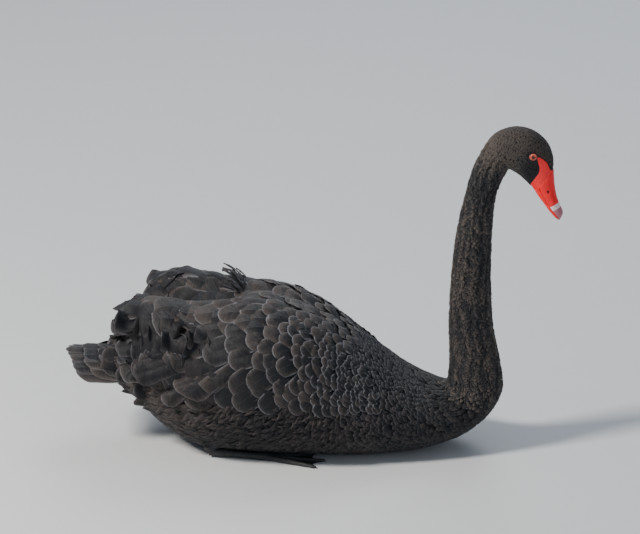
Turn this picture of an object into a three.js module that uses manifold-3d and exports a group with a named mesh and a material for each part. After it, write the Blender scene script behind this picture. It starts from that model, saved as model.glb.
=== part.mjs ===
// A life-size black swan resting on its belly with its neck raised, as in a museum case.
// Millimetres, +X towards the bill, +Y towards the bird's left, +Z up.
// The origin is on the floor, in the middle of the flat under the belly.
import * as THREE from "three";
import { mergeVertices } from "three/addons/utils/BufferGeometryUtils.js";
import Module from "manifold-3d";

const wasm = await Module();
wasm.setup();

// Driving dimensions
const TOUCH_GAP = 0.3; // clearance between neighbouring parts
const SECTION_POWER = 2.1; // superellipse power of the body's sections
const WING_THICKNESS = 13; // of the folded wing with its coverts, over the flank
// The eye's station lies between crown and bill, and its depth is a share of the head's depth
const EYE = { radius: 6.2, station: 21.6, depth: 0.4, sunk: 3.4 };
const LID = { ring: 5.9, bead: 1.5, proud: 2.9, slant: 0.12 };
const MOUTH = { depth: 0.74, tipDepth: 0.6 }; // from the bill's ridge, as shares of its depth
const NOSTRIL = { station: 25.05, turn: 1.18, half: [1.6, 2.2, 4], slant: 0.5 };
const FOOT = { y: 94, rootX: -28, heelX: -112, rootZ: 4.5, heelZ: 9, web: 1.8, webHollow: 0.14 };
// Toes from the inner to the outer one: turn from straight ahead and length
const TOES = [
  { turn: -0.36, length: 79 },
  { turn: 0, length: 92 },
  { turn: 0.34, length: 86 },
];

const COLOURS = {
  plumage: { color: 0x2b2a2e, roughness: 0.75, metalness: 0 },
  wing: { color: 0x35333a, roughness: 0.7, metalness: 0 },
  bill: { color: 0xe0231c, roughness: 0.35, metalness: 0 },
  band: { color: 0xf0e6e4, roughness: 0.35, metalness: 0 },
  nail: { color: 0xa04a4c, roughness: 0.35, metalness: 0 },
  eye: { color: 0xc0251b, roughness: 0.1, metalness: 0 },
  foot: { color: 0x26262a, roughness: 0.55, metalness: 0 },
};

// Body line: one row for each station from the rump over the back and up the neck to the bill's tip.
// Each section runs from the back point to the belly point; half is its half width and wide is
// the share of its depth, from the back, where it is widest.
const STATIONS = [
  { name: "rump end", back: [-276, 146], belly: [-280, 112], half: 34, wide: 0.5 },
  { name: "rump", back: [-228, 166], belly: [-236, 70], half: 66, wide: 0.5 },
  { name: "thighs", back: [-174, 188], belly: [-184, 24], half: 102, wide: 0.52 },
  { name: "rear back", back: [-117, 210], belly: [-122, -4], half: 130, wide: 0.55 },
  { name: "mid back", back: [-43, 224], belly: [-38, -8], half: 139, wide: 0.57 },
  { name: "fore back", back: [32, 207], belly: [46, -8], half: 134, wide: 0.58 },
  { name: "shoulders", back: [97, 172], belly: [128, -6], half: 117, wide: 0.58 },
  { name: "breast", back: [161, 125], belly: [204, 4], half: 94, wide: 0.55 },
  { name: "fore breast", back: [206, 102], belly: [264, 24], half: 73, wide: 0.52 },
  { name: "crop", back: [230, 97], belly: [303, 56], half: 55, wide: 0.5 },
  { name: "neck root", back: [238, 106], belly: [321, 94], half: 43, wide: 0.5 },
  { name: "low neck", back: [241, 140], belly: [316, 138], half: 36, wide: 0.5 },
  { name: "neck quarter", back: [240, 190], belly: [306, 190], half: 32, wide: 0.5 },
  { name: "neck middle", back: [241, 252], belly: [302, 252], half: 29, wide: 0.5 },
  { name: "upper neck", back: [247, 316], belly: [302, 316], half: 26.5, wide: 0.5 },
  { name: "neck bend", back: [255, 366], belly: [304, 362], half: 24, wide: 0.5 },
  { name: "below nape", back: [264, 404], belly: [308, 395], half: 22, wide: 0.5 },
  { name: "nape", back: [273, 438], belly: [315, 419], half: 21, wide: 0.5 },
  { name: "top bend", back: [286.5, 469], belly: [323, 436], half: 21, wide: 0.5 },
  { name: "hind crown", back: [306, 497.5], belly: [328.5, 444], half: 22.5, wide: 0.5 },
  { name: "crown", back: [334.5, 509.5], belly: [335.5, 441], half: 24.5, wide: 0.48 },
  { name: "brow", back: [361.8, 505.5], belly: [344.5, 435], half: 25, wide: 0.48 },
  { name: "forehead", back: [383.5, 489], belly: [353, 427], half: 21.5, wide: 0.5 },
  { name: "lore", back: [393.2, 467], belly: [360.5, 419], half: 17.5, wide: 0.52 },
  { name: "bill base", back: [394.9, 444], belly: [366.8, 411], half: 15, wide: 0.58 },
  { name: "nostril", back: [396.6, 421], belly: [372.8, 402], half: 13.5, wide: 0.62 },
  { name: "mid bill", back: [399.9, 402.5], belly: [380.2, 392.5], half: 13, wide: 0.64 },
  { name: "nail root", back: [405, 389], belly: [388, 381.5], half: 12.5, wide: 0.62 },
  { name: "nail", back: [409.2, 377.5], belly: [396.8, 371], half: 10, wide: 0.6 },
  { name: "bill tip", back: [405.8, 367.5], belly: [402.3, 366], half: 4, wide: 0.5 },
];

// Where the body line is parted
const PARTS = {
  tail: 0.9,
  neckRoot: 9.7,
  neckLow: 12.4,
  neckMiddle: 15.2,
  head: 18.7,
  bill: 24,
  band: 26.55,
  nail: 27.1,
  tip: 29,
};

const lerp = THREE.MathUtils.lerp;
const clamp = THREE.MathUtils.clamp;
const smooth = (x) => THREE.MathUtils.smoothstep(x, 0, 1);

// A repeatable draw between -1 and 1 for item n of a set
const draw = (n, set = 0) => {
  const wave = Math.sin(n * 127.1 + set * 311.7 + 17.3) * 43758.5453;
  return 2 * (wave - Math.floor(wave)) - 1;
};

const rail = (pick) =>
  new THREE.CatmullRomCurve3(
    STATIONS.map((s) => new THREE.Vector3(...pick(s))),
    false,
    "catmullrom",
    0.5,
  );
const backRail = rail((s) => [s.back[0], 0, s.back[1]]);
const bellyRail = rail((s) => [s.belly[0], 0, s.belly[1]]);
const formRail = rail((s) => [s.half, s.wide, 0]);

// Point on the body at station t and turn phi, 0 along the back and PI along the belly, grown by
// grow: a superellipse quarter from the back to the widest line, and one from there to the belly.
function bodyPoint(t, phi, grow = 0) {
  const share = clamp(t / (STATIONS.length - 1), 0, 1);
  const back = backRail.getPoint(share);
  const belly = bellyRail.getPoint(share);
  const form = formRail.getPoint(share);
  const depthLine = belly.clone().sub(back);
  const depth = depthLine.length();
  depthLine.normalize();
  const power = 2 / SECTION_POWER;
  const across = Math.sign(Math.sin(phi)) * Math.abs(Math.sin(phi)) ** power;
  const along = Math.abs(Math.cos(phi)) ** power;
  const widest = form.y * depth;
  const down =
    Math.cos(phi) > 0
      ? widest - (widest + grow) * along
      : widest + (depth - widest + grow) * along;
  const point = back.addScaledVector(depthLine, down);
  point.y = (form.x + grow) * across;
  return point;
}

// Local frame on the body: rearwards, downwards round the section, and outwards. side is 1 on the
// bird's left and -1 on its right. metric holds millimetres for each unit of t and of phi.
function bodyFrame(t, phi, side) {
  const step = 0.02;
  const here = bodyPoint(t, side * phi);
  const ahead = bodyPoint(t + step, side * phi).sub(bodyPoint(t - step, side * phi));
  const round = bodyPoint(t, side * (phi + step)).sub(bodyPoint(t, side * (phi - step)));
  const metric = { along: ahead.length() / (2 * step), round: round.length() / (2 * step) };
  const rear = ahead.normalize().negate();
  const out = new THREE.Vector3().crossVectors(round, rear).multiplyScalar(side).normalize();
  const down = new THREE.Vector3().crossVectors(rear, out).multiplyScalar(side).normalize();
  return { here, rear, down, out, metric };
}

// Closed geometry from rings of equal length, with flat ends
function loftGeometry(rings) {
  const count = rings[0].length;
  const points = rings.flat();
  const index = [];
  for (let i = 0; i < rings.length - 1; i++)
    for (let j = 0; j < count; j++) {
      const a = i * count + j;
      const b = i * count + ((j + 1) % count);
      index.push(a, b, a + count, b, b + count, a + count);
    }
  for (const [start, turn] of [[0, 1], [(rings.length - 1) * count, 0]]) {
    const middle = new THREE.Vector3();
    for (let j = 0; j < count; j++) middle.addScaledVector(points[start + j], 1 / count);
    points.push(middle);
    for (let j = 0; j < count; j++) {
      const a = start + j;
      const b = start + ((j + 1) % count);
      index.push(...(turn ? [b, a, points.length - 1] : [a, b, points.length - 1]));
    }
  }
  return new THREE.BufferGeometry().setFromPoints(points).setIndex(index);
}

// Closed geometry between two grids of points, [row][column], both split along the same diagonals
function sheetGeometry(top, bottom) {
  const columns = top[0].length;
  const count = top.length * columns;
  const index = [];
  for (let i = 0; i < top.length - 1; i++)
    for (let j = 0; j < columns - 1; j++) {
      const a = i * columns + j;
      const [b, c, d] = [a + 1, a + columns, a + columns + 1];
      index.push(a, b, c, b, d, c);
      index.push(count + a, count + c, count + b, count + b, count + c, count + d);
    }
  const rim = [];
  for (let j = 0; j < columns - 1; j++) rim.push(j);
  for (let i = 0; i < top.length - 1; i++) rim.push(i * columns + columns - 1);
  for (let j = columns - 1; j > 0; j--) rim.push((top.length - 1) * columns + j);
  for (let i = top.length - 1; i > 0; i--) rim.push(i * columns);
  rim.forEach((a, k) => {
    const b = rim[(k + 1) % rim.length];
    index.push(a, count + a, b, b, count + a, count + b);
  });
  return new THREE.BufferGeometry()
    .setFromPoints([...top.flat(), ...bottom.flat()])
    .setIndex(index);
}

// The solid that a closed geometry bounds, turned the right way out
function solid(geometry) {
  const bare = geometry.index ? geometry.toNonIndexed() : geometry.clone();
  bare.deleteAttribute("normal");
  bare.deleteAttribute("uv");
  const merged = mergeVertices(bare, 1e-3);
  const build = (triVerts) =>
    new wasm.Manifold(
      new wasm.Mesh({
        numProp: 3,
        vertProperties: merged.attributes.position.array,
        triVerts,
      }),
    );
  const made = build(new Uint32Array(merged.index.array));
  return made.volume() > 0 ? made : build(new Uint32Array(merged.index.array).reverse());
}

const union = (solids) => wasm.Manifold.union(solids);
const largest = (made) =>
  made.decompose().reduce((best, one) => (one.volume() > best.volume() ? one : best));

function geometryOf(made) {
  const mesh = made.getMesh();
  const positions = new Float32Array(mesh.numVert * 3);
  for (let i = 0; i < mesh.numVert; i++)
    positions.set(mesh.vertProperties.subarray(i * mesh.numProp, i * mesh.numProp + 3), i * 3);
  return new THREE.BufferGeometry()
    .setAttribute("position", new THREE.BufferAttribute(positions, 3))
    .setIndex(new THREE.BufferAttribute(new Uint32Array(mesh.triVerts), 1))
    .toNonIndexed();
}

const boxSolid = (low, high) => {
  const size = high.map((v, i) => v - low[i]);
  const middle = high.map((v, i) => (v + low[i]) / 2);
  return solid(new THREE.BoxGeometry(...size).translate(...middle));
};

// A stretch of the body line from one station to another, as a closed solid
function bodyStretch(from, to, steps, around, grow = 0) {
  const rings = [];
  for (let i = 0; i <= steps; i++) {
    const ring = [];
    for (let j = 0; j < around; j++) {
      const point = bodyPoint(lerp(from, to, i / steps), (2 * Math.PI * (j + 0.5)) / around, grow);
      point.z = Math.max(point.z, -grow);
      ring.push(point);
    }
    rings.push(ring);
  }
  return solid(loftGeometry(rings));
}

// Half of the gap at a parting, in stations
function partGap(t) {
  const step = 0.01;
  const middle = (u) => bodyPoint(u, 0).add(bodyPoint(u, Math.PI)).multiplyScalar(0.5);
  const back = bodyPoint(t + step, 0).distanceTo(bodyPoint(t, 0));
  const belly = bodyPoint(t + step, Math.PI).distanceTo(bodyPoint(t, Math.PI));
  const centre = middle(t + step).distanceTo(middle(t));
  return (step * TOUCH_GAP) / 2 / Math.min(back, belly, centre);
}

// Wing: a folded wing lying over the flank and the edge of the back, ruffled at its rear. It runs
// from station front to station rear and from turn top to turn low, around its middle line.
const WING = { front: 6.2, rear: 1.0, top: 0.07, low: 1.52, middle: 0.4, sunk: 4, thin: 2 };
const RUFFLE = { alongReach: 1.0, phi: 0.42, roundReach: 0.62 };
// The two sides' ruffles aren't alike: station and height of each, for side -1 and 1
const ruffleOf = (side) => (side < 0 ? { t: 1.6, height: 42 } : { t: 2.2, height: 42 });

// How far the folded wing's surface lies over the body at station t and turn phi
function wingThickness(t, phi, side) {
  const alongShare = clamp((WING.front - t) / (WING.front - WING.rear), 0, 1);
  const roundShare = clamp((phi - WING.top) / (WING.low - WING.top), 0, 1);
  const border = Math.min(smooth(alongShare / 0.35), smooth((1 - alongShare) / 0.15));
  const rim = Math.min(smooth(roundShare / 0.12), smooth((1 - roundShare) / 0.35));
  const fold = WING.thin + (WING_THICKNESS - WING.thin) * border * rim;
  const ruffle = ruffleOf(side);
  const ruffleAlong = Math.exp(-(((t - ruffle.t) / RUFFLE.alongReach) ** 2));
  const ruffleRound = Math.exp(-(((phi - RUFFLE.phi) / RUFFLE.roundReach) ** 2));
  return fold + ruffle.height * ruffleAlong * ruffleRound * (0.35 + 0.65 * rim);
}

const wingPoint = (t, phi, side, extra = 0) => {
  const { here, out } = bodyFrame(t, phi, side);
  return here.addScaledVector(out, wingThickness(t, phi, side) + extra);
};

function wingPad(side) {
  const [alongSteps, roundSteps] = [13, 8];
  const top = [];
  const bottom = [];
  for (let i = 0; i <= alongSteps; i++) {
    const topRow = [];
    const bottomRow = [];
    const alongShare = i / alongSteps;
    // The wing's ends are round: its borders draw together there
    const foreSpread = lerp(0.3, 1, Math.sqrt(clamp(alongShare / 0.4, 0, 1)));
    const spread = foreSpread * lerp(1, 0.8, smooth((alongShare - 0.8) / 0.2));
    for (let j = 0; j <= roundSteps; j++) {
      const t = lerp(WING.front, WING.rear, alongShare);
      const across = WING.middle + (j / roundSteps - WING.middle) * spread;
      const phi = lerp(WING.top, WING.low, across);
      const { here, out } = bodyFrame(t, phi, side);
      topRow.push(wingPoint(t, phi, side));
      bottomRow.push(here.clone().addScaledVector(out, -WING.sunk));
    }
    top.push(topRow);
    bottom.push(bottomRow);
  }
  return solid(sheetGeometry(top, bottom));
}

// Feather vanes: shares of the length at which their rows lie, and the share of the width there
const VANE = { thickness: 0.9, rows: [0, 0.42, 0.8, 1], widths: [0.5, 0.96, 1, 0.52], round: 0.15 };
const CURLED = { rows: [0, 0.3, 0.56, 0.8, 1], widths: [0.5, 0.92, 1, 0.96, 0.5] };
const [BROAD, NARROW] = [[-1, 0, 1], [-1, 1]]; // columns across a vane

// Closed vane from a function of a, the share of its length, c, the share of its full half width,
// and b, the column. The function gives the point there and the way out.
function vane(place, columns, { rows, widths } = VANE) {
  const top = [];
  const bottom = [];
  rows.forEach((share, i) => {
    const round = (b) => share * (1 - VANE.round * b * b * share);
    const row = columns.map((b) => place(round(b), widths[i] * b, b));
    const half = (VANE.thickness / 2) * lerp(1, 0.75, share);
    top.push(row.map(({ point, out }) => point.clone().addScaledVector(out, half)));
    bottom.push(row.map(({ point, out }) => point.clone().addScaledVector(out, -half)));
  });
  return solid(sheetGeometry(top, bottom));
}

// A vane lying on the folded wing: slant turns it downwards, sink and lift are its depth at the root
// and height near the tip, droop bends the tip down, cup rounds it and shingle tilts it sideways.
function wingVane(side, { t, phi, length, width, slant, sink, lift, droop, cup, shingle, columns }) {
  const { metric } = bodyFrame(t, phi, side);
  const place = (a, c, b) => {
    const along = length * a;
    const across = (width / 2) * c;
    const u = t - (along * Math.cos(slant) - across * Math.sin(slant)) / metric.along;
    const v = phi + (along * Math.sin(slant) + across * Math.cos(slant)) / metric.round;
    const rise = lerp(-sink, lift, Math.min(1, a / 0.8)) - droop * smooth((a - 0.7) / 0.3);
    const height = rise + a * (cup * (1 - b * b) + shingle * b);
    const { out } = bodyFrame(u, v, side);
    return { point: wingPoint(u, v, side, height), out };
  };
  return vane(place, columns);
}

// Parts of the body line, each between two stations
const parted = (from, to) => [from + partGap(from), to - partGap(to)];
const RANGES = {
  tail: { span: [0, PARTS.tail - partGap(PARTS.tail)], steps: 3, around: 20 },
  torso: { span: parted(PARTS.tail, PARTS.neckRoot), steps: 20, around: 30 },
  neck_low: { span: parted(PARTS.neckRoot, PARTS.neckLow), steps: 6, around: 22 },
  neck_middle: { span: parted(PARTS.neckLow, PARTS.neckMiddle), steps: 5, around: 22 },
  neck_top: { span: parted(PARTS.neckMiddle, PARTS.head), steps: 8, around: 22 },
  head: { span: parted(PARTS.head, PARTS.bill), steps: 11, around: 26 },
};
const stretch = (name, grow = 0) => {
  const { span, steps, around } = RANGES[name];
  return bodyStretch(...span, steps, around, grow);
};

// What the wings and legs keep clear of
const CLEARANCE = TOUCH_GAP + 0.05;
const rumpJoint = bodyStretch(PARTS.tail - 0.06, PARTS.tail + 0.06, 1, 32, TOUCH_GAP);
const bodyClear = union([stretch("tail", CLEARANCE), stretch("torso", CLEARANCE), rumpJoint]);

// Tail and wings are parted by a sloping plane behind the rump: everything above it is wing
const TAIL_PLANE = { height: 163, slope: -0.12, x: -250, front: -226 };
const FAR = 800; // past every part of the bird

// The room behind the rump on one side of that plane, above it or under it
function tailRoom(above) {
  const gap = above ? TOUCH_GAP / 2 : -TOUCH_GAP / 2;
  const height = (x) => TAIL_PLANE.height + TAIL_PLANE.slope * (x - TAIL_PLANE.x) + gap;
  const shape = new THREE.Shape();
  shape.moveTo(-FAR, height(-FAR));
  shape.lineTo(TAIL_PLANE.front, height(TAIL_PLANE.front));
  shape.lineTo(TAIL_PLANE.front, above ? FAR : -FAR);
  shape.lineTo(-FAR, above ? FAR : -FAR);
  const slab = new THREE.ExtrudeGeometry(shape, { depth: 2 * FAR, bevelEnabled: false });
  return solid(slab.rotateX(Math.PI / 2).translate(0, FAR, 0));
}

const NARROW_BELOW = 60; // vanes shorter than this have no middle column
// Tiers of wing coverts from the rear forwards: station and turns of the roots, number and size
const COVERT_TIERS = [
  { t: 3.5, phi: [0.6, 1.26], count: 4, length: 88, width: 46, slant: [0.05, 0.45], lift: 3.2 },
  { t: 4.15, phi: [0.56, 1.3], count: 4, length: 80, width: 46, slant: [0.15, 0.6], lift: 3.2 },
  { t: 4.75, phi: [0.54, 1.28], count: 4, length: 68, width: 43, slant: [0.25, 0.75], lift: 3 },
  { t: 5.25, phi: [0.54, 1.22], count: 4, length: 56, width: 37, slant: [0.35, 0.85], lift: 2.6 },
  { t: 5.7, phi: [0.58, 1.1], count: 3, length: 46, width: 34, slant: [0.4, 0.9], lift: 2.4 },
];
// Scapulars along the edge of the back
const SCAPULAR_TIERS = [
  { t: 3.7, phi: [0.17, 0.42], count: 2, length: 84, width: 44, slant: [-0.05, 0.1], lift: 4.4 },
  { t: 4.4, phi: [0.17, 0.42], count: 2, length: 76, width: 42, slant: [0, 0.1], lift: 4.2 },
  { t: 5.1, phi: [0.2, 0.42], count: 2, length: 62, width: 34, slant: [0, 0.15], lift: 3.6 },
];
// Ruffled feathers of the wing's rear, with lifted and curled ends
const RUFFLE_TIERS = [
  { t: 3.1, phi: [0.16, 0.86], count: 3, length: 72, width: 48, slant: [-0.1, 0.3], lift: 11, loose: 1 },
];
// Curled feathers that stand off the ruffle: rise and curl are the angle at the root and its fall
const CURL_TIERS = [
  { t: 1.75, phi: [0.14, 1.02], count: 4, length: 84, width: 50, slant: [-0.05, 0.2], rise: 0.65, curl: 1.5 },
  { t: 2.3, phi: [0.12, 1.08], count: 5, length: 112, width: 52, slant: [-0.05, 0.3], rise: 1.2, curl: 2.3 },
];

function wingTier({ t, phi, count, length, width, slant, lift, loose = 0 }, side, set) {
  const shift = loose * (ruffleOf(side).t - ruffleOf(-1).t);
  const vanes = [];
  for (let k = 0; k < count; k++) {
    const share = k / (count - 1);
    vanes.push(
      wingVane(side, {
        t: t + shift + 0.05 * draw(k, set),
        phi: lerp(phi[0], phi[1], share),
        length: length * (1 + (0.04 + 0.06 * loose) * draw(k, set + 1)),
        width: width * (1 + 0.04 * draw(k, set + 2)),
        slant: lerp(slant[0], slant[1], share) + 0.12 * loose * draw(k, set + 3),
        sink: 6 + loose,
        lift: lift + 2.5 * loose * draw(k, set + 4),
        droop: 8 * loose,
        cup: 1 + 4 * loose,
        shingle: -1.1 - 0.9 * loose,
        columns: length < NARROW_BELOW ? NARROW : BROAD,
      }),
    );
  }
  return vanes;
}

// A vane that leaves the wing at the angle rise and bends back towards it by curl along its length
function curledVane(side, { t, phi, length, width, slant, rise, curl, cup }) {
  const { rear, down, out } = bodyFrame(t, phi, side);
  const root = wingPoint(t, phi, side, -7);
  const way = rear.clone().multiplyScalar(Math.cos(slant)).addScaledVector(down, Math.sin(slant));
  const across = down.clone().multiplyScalar(Math.cos(slant)).addScaledVector(rear, -Math.sin(slant));
  const place = (a, c, b) => {
    const angle = rise - curl * a;
    const along = (length / curl) * (Math.sin(rise) - Math.sin(angle));
    const over = (length / curl) * (Math.cos(angle) - Math.cos(rise));
    const normal = out.clone().multiplyScalar(Math.cos(angle)).addScaledVector(way, -Math.sin(angle));
    const point = root.clone().addScaledVector(way, along).addScaledVector(out, over);
    point.addScaledVector(across, (width / 2) * c).addScaledVector(normal, -cup * b * b);
    return { point, out: normal };
  };
  return vane(place, BROAD, CURLED);
}

function curlTier({ t, phi, count, length, width, slant, rise, curl }, side, set) {
  const shift = ruffleOf(side).t - ruffleOf(-1).t;
  const vanes = [];
  for (let k = 0; k < count; k++) {
    const share = k / (count - 1);
    vanes.push(
      curledVane(side, {
        t: t + shift + 0.05 * draw(k, set),
        phi: lerp(phi[0], phi[1], share),
        length: length * (1 + 0.1 * draw(k, set + 1)),
        width: width * (1 + 0.05 * draw(k, set + 2)),
        slant: lerp(slant[0], slant[1], share) + 0.12 * draw(k, set + 3),
        rise: rise * (1 - 0.3 * share) + 0.12 * draw(k, set + 4),
        curl,
        cup: 5,
      }),
    );
  }
  return vanes;
}

// Upturned tuft on the back: narrow feather ends that curl up from the edge of the left wing
const TUFT = { t: 3.62, phi: 0.1, apart: 0.09, count: 3, length: 50, width: 15, rise: 0.45, curl: 0.6 };
function backTuft() {
  const tuft = [];
  for (let k = 0; k < TUFT.count; k++) {
    const phi = TUFT.phi + TUFT.apart * k;
    const { rear, down, out } = bodyFrame(TUFT.t, phi, 1);
    const root = wingPoint(TUFT.t, phi, 1, -1);
    const length = TUFT.length * (1 - 0.18 * k);
    const place = (a, c) => {
      const angle = TUFT.rise + TUFT.curl * a;
      const point = root.clone().addScaledVector(rear, length * a * Math.cos(angle));
      point.addScaledVector(out, length * a * Math.sin(angle));
      point.addScaledVector(down, (TUFT.width / 2) * c * (1 - 0.6 * a) + 5 * k * a);
      const way = out.clone().multiplyScalar(Math.cos(angle)).addScaledVector(rear, -Math.sin(angle));
      return { point, out: way };
    };
    tuft.push(vane(place, NARROW));
  }
  return tuft;
}

function wingSolid(side) {
  const pieces = [wingPad(side), ...(side > 0 ? backTuft() : [])];
  const tiers = [...COVERT_TIERS, ...SCAPULAR_TIERS, ...RUFFLE_TIERS];
  const set = side > 0 ? 60 : 0;
  tiers.forEach((tier, i) => pieces.push(...wingTier(tier, side, set + 5 * i)));
  CURL_TIERS.forEach((tier, i) => pieces.push(...curlTier(tier, side, set + 5 * (tiers.length + i))));
  const middle = TOUCH_GAP / 2;
  const [right, left] = side > 0 ? [middle, FAR] : [-FAR, -middle];
  const ownSide = boxSolid([-FAR, right, 1], [FAR, left, FAR]);
  return largest(union(pieces).subtract(bodyClear).intersect(ownSide).subtract(tailRoom(false)));
}

// Tail: the tapering rump end, a wedge behind it and two tiers of vanes in a shallow fan
const TAIL = {
  root: { x: -226, z: 132, half: 42, depth: 26 },
  tip: { x: -342, z: 127, half: 60, depth: 2 },
  arch: 16, // how far the sides hang
  back: 26, // how far the sides' tips lie before the middle ones
  wedge: 0.8, // the wedge's share of the length
};
const TAIL_TIERS = [
  { count: 10, from: 0.1, to: 1, width: 26, over: 0.5, spread: 1 },
  { count: 5, from: -0.06, to: 0.62, width: 34, over: 4.5, spread: 0.86 },
];

// Point of the fan at length share a and cross share b, over by a height
function fanPoint(a, b, over = 0) {
  const x = lerp(TAIL.root.x, TAIL.tip.x + TAIL.back * b * b, a);
  const y = b * lerp(TAIL.root.half, TAIL.tip.half, Math.sqrt(Math.max(a, 0)));
  return new THREE.Vector3(x, y, lerp(TAIL.root.z, TAIL.tip.z, a) - TAIL.arch * b * b + over);
}

function tailWedge() {
  const [alongSteps, acrossSteps] = [4, 8];
  const top = [];
  const bottom = [];
  for (let i = 0; i <= alongSteps; i++) {
    const topRow = [];
    const bottomRow = [];
    for (let j = 0; j <= acrossSteps; j++) {
      const a = (TAIL.wedge * i) / alongSteps;
      const b = (2 * j) / acrossSteps - 1;
      const depth = lerp(TAIL.root.depth, TAIL.tip.depth, a ** 0.7) * (1 - 0.6 * b * b);
      topRow.push(fanPoint(a, 0.94 * b, 0.1 * depth));
      bottomRow.push(fanPoint(a, 0.94 * b, -0.75 * depth));
    }
    top.push(topRow);
    bottom.push(bottomRow);
  }
  return solid(sheetGeometry(top, bottom));
}

function tailVanes({ count, from, to, width, over, spread }) {
  const vanes = [];
  for (let k = 0; k < count; k++) {
    const middle = spread * ((2 * k) / (count - 1) - 1);
    const rise = over + 5 * (1 - Math.abs(middle)) + 0.4 * (k % 2);
    const place = (a, c) => {
      const share = lerp(from, to, a);
      const across = middle + (c * width) / 2 / lerp(TAIL.root.half, TAIL.tip.half, share);
      return { point: fanPoint(share, across, rise * lerp(0.2, 1, a)), out: new THREE.Vector3(0, 0, 1) };
    };
    vanes.push(vane(place, BROAD));
  }
  return vanes;
}

function tailSolid() {
  const feathers = union([tailWedge(), ...TAIL_TIERS.flatMap(tailVanes)]);
  const clear = feathers.subtract(stretch("torso", CLEARANCE)).subtract(rumpJoint);
  return largest(stretch("tail").add(clear).subtract(tailRoom(true)));
}

// A round limb through points, thinned along its length and pressed flat on the floor
function limb(points, radii, around) {
  const path = new THREE.CatmullRomCurve3(points);
  const steps = 2 * (points.length - 1);
  const rings = [];
  for (let i = 0; i <= steps; i++) {
    const centre = path.getPoint(i / steps);
    const ahead = path.getTangent(i / steps);
    const across = new THREE.Vector3(0, 0, 1).cross(ahead).normalize();
    const over = ahead.clone().cross(across);
    const share = (i / steps) * (radii.length - 1);
    const low = Math.min(Math.floor(share), radii.length - 2);
    const radius = lerp(radii[low], radii[low + 1], share - low);
    const ring = [];
    for (let j = 0; j < around; j++) {
      const angle = (2 * Math.PI * (j + 0.5)) / around;
      const point = centre.clone().addScaledVector(across, radius * Math.cos(angle));
      point.addScaledVector(over, radius * Math.sin(angle));
      point.z = Math.max(point.z, 0);
      ring.push(point);
    }
    rings.push(ring);
  }
  return solid(loftGeometry(rings));
}

// Leg: three toes with their web, a hind toe, the shank folded back along the floor, and the thigh
// that runs up into the belly
function legSolid(side) {
  const at = (x, y, z) => new THREE.Vector3(x, side * y, z);
  const root = at(FOOT.rootX, FOOT.y, FOOT.rootZ);
  const heel = at(FOOT.heelX, FOOT.y - 4, FOOT.heelZ);
  const tips = TOES.map(({ turn, length }) =>
    at(FOOT.rootX + length * Math.cos(turn), FOOT.y + length * Math.sin(turn), 2.2),
  );
  const pieces = tips.map((tip) => limb([root, tip], [5, 3.8, 1.1], 6));
  const knee = [at(FOOT.heelX + 12, FOOT.y - 8, 26), at(FOOT.heelX + 34, FOOT.y - 16, 52)];
  const hind = [at(FOOT.rootX - 6, FOOT.y - 5, 5), at(FOOT.rootX - 16, FOOT.y - 20, 1.6)];
  pieces.push(limb([root.clone().setX(FOOT.rootX + 4), heel], [5.5, 7], 8));
  pieces.push(limb([heel.clone().setX(FOOT.heelX - 4), ...knee], [7.5, 12, 20], 8));
  pieces.push(limb(hind, [2.6, 0.8], 6));
  const web = new THREE.Shape();
  web.moveTo(FOOT.rootX - 2, FOOT.y);
  web.lineTo(tips[0].x, side * tips[0].y);
  for (const [from, to] of [[0, 1], [1, 2]]) {
    const hollow = tips[from].clone().lerp(tips[to], 0.5).lerp(root, FOOT.webHollow);
    web.quadraticCurveTo(hollow.x, side * hollow.y, tips[to].x, side * tips[to].y);
  }
  const sheet = { depth: FOOT.web, bevelEnabled: false, curveSegments: 4 };
  pieces.push(solid(new THREE.ExtrudeGeometry(web, sheet).scale(1, side, 1)));
  return largest(union(pieces).subtract(bodyClear));
}

// Eyes: each a ball set into the head, ringed by a lid
function eyeCentre(side) {
  const rim = bodyPoint(EYE.station, side * Math.acos(1 - 2 * EYE.depth));
  return new THREE.Vector3(rim.x, rim.y - side * EYE.sunk, rim.z);
}
function eyeBall(side, grow = 0) {
  const ball = new THREE.SphereGeometry(EYE.radius + grow, 12, 8).rotateX(Math.PI / 2);
  return solid(ball.translate(...eyeCentre(side)));
}
function eyeLid(side) {
  const ring = new THREE.TorusGeometry(LID.ring, LID.bead, 5, 14);
  ring.rotateX(Math.PI / 2 - side * LID.slant).translate(0, side * LID.proud, 0);
  return solid(ring.translate(...eyeCentre(side)));
}
function headSolid() {
  const head = union([stretch("head"), eyeLid(1), eyeLid(-1)]);
  return largest(head.subtract(eyeBall(1, TOUCH_GAP)).subtract(eyeBall(-1, TOUCH_GAP)));
}

// Bill: the line of the mouth runs from the gape to the tip, nearer the chin than the ridge
function mouthPoint(t) {
  const share = smooth((t - PARTS.bill) / (PARTS.tip - PARTS.bill));
  return bodyPoint(t, 0).lerp(bodyPoint(t, Math.PI), lerp(MOUTH.depth, MOUTH.tipDepth, share));
}
// A thin slab along that line, which runs on past the tip
function mouthCut() {
  const [step, past, wide] = [0.5, new THREE.Vector3(6, 0, -14), 80];
  const line = [];
  for (let t = PARTS.bill - step; t <= PARTS.tip; t += step) line.push(mouthPoint(t));
  line.push(line.at(-1).clone().add(past));
  const half = TOUCH_GAP / 2;
  const over = line.map((p) => new THREE.Vector2(p.x + half, p.z + half));
  const under = line.map((p) => new THREE.Vector2(p.x - half, p.z - half)).reverse();
  const shape = new THREE.Shape([...over, ...under]);
  const slab = new THREE.ExtrudeGeometry(shape, { depth: wide, bevelEnabled: false });
  return solid(slab.rotateX(Math.PI / 2).translate(0, wide / 2, 0));
}
function nostril(side) {
  const pit = new THREE.SphereGeometry(1, 10, 8).scale(...NOSTRIL.half).rotateY(NOSTRIL.slant);
  return solid(pit.translate(...bodyPoint(NOSTRIL.station, side * NOSTRIL.turn)));
}

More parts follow.
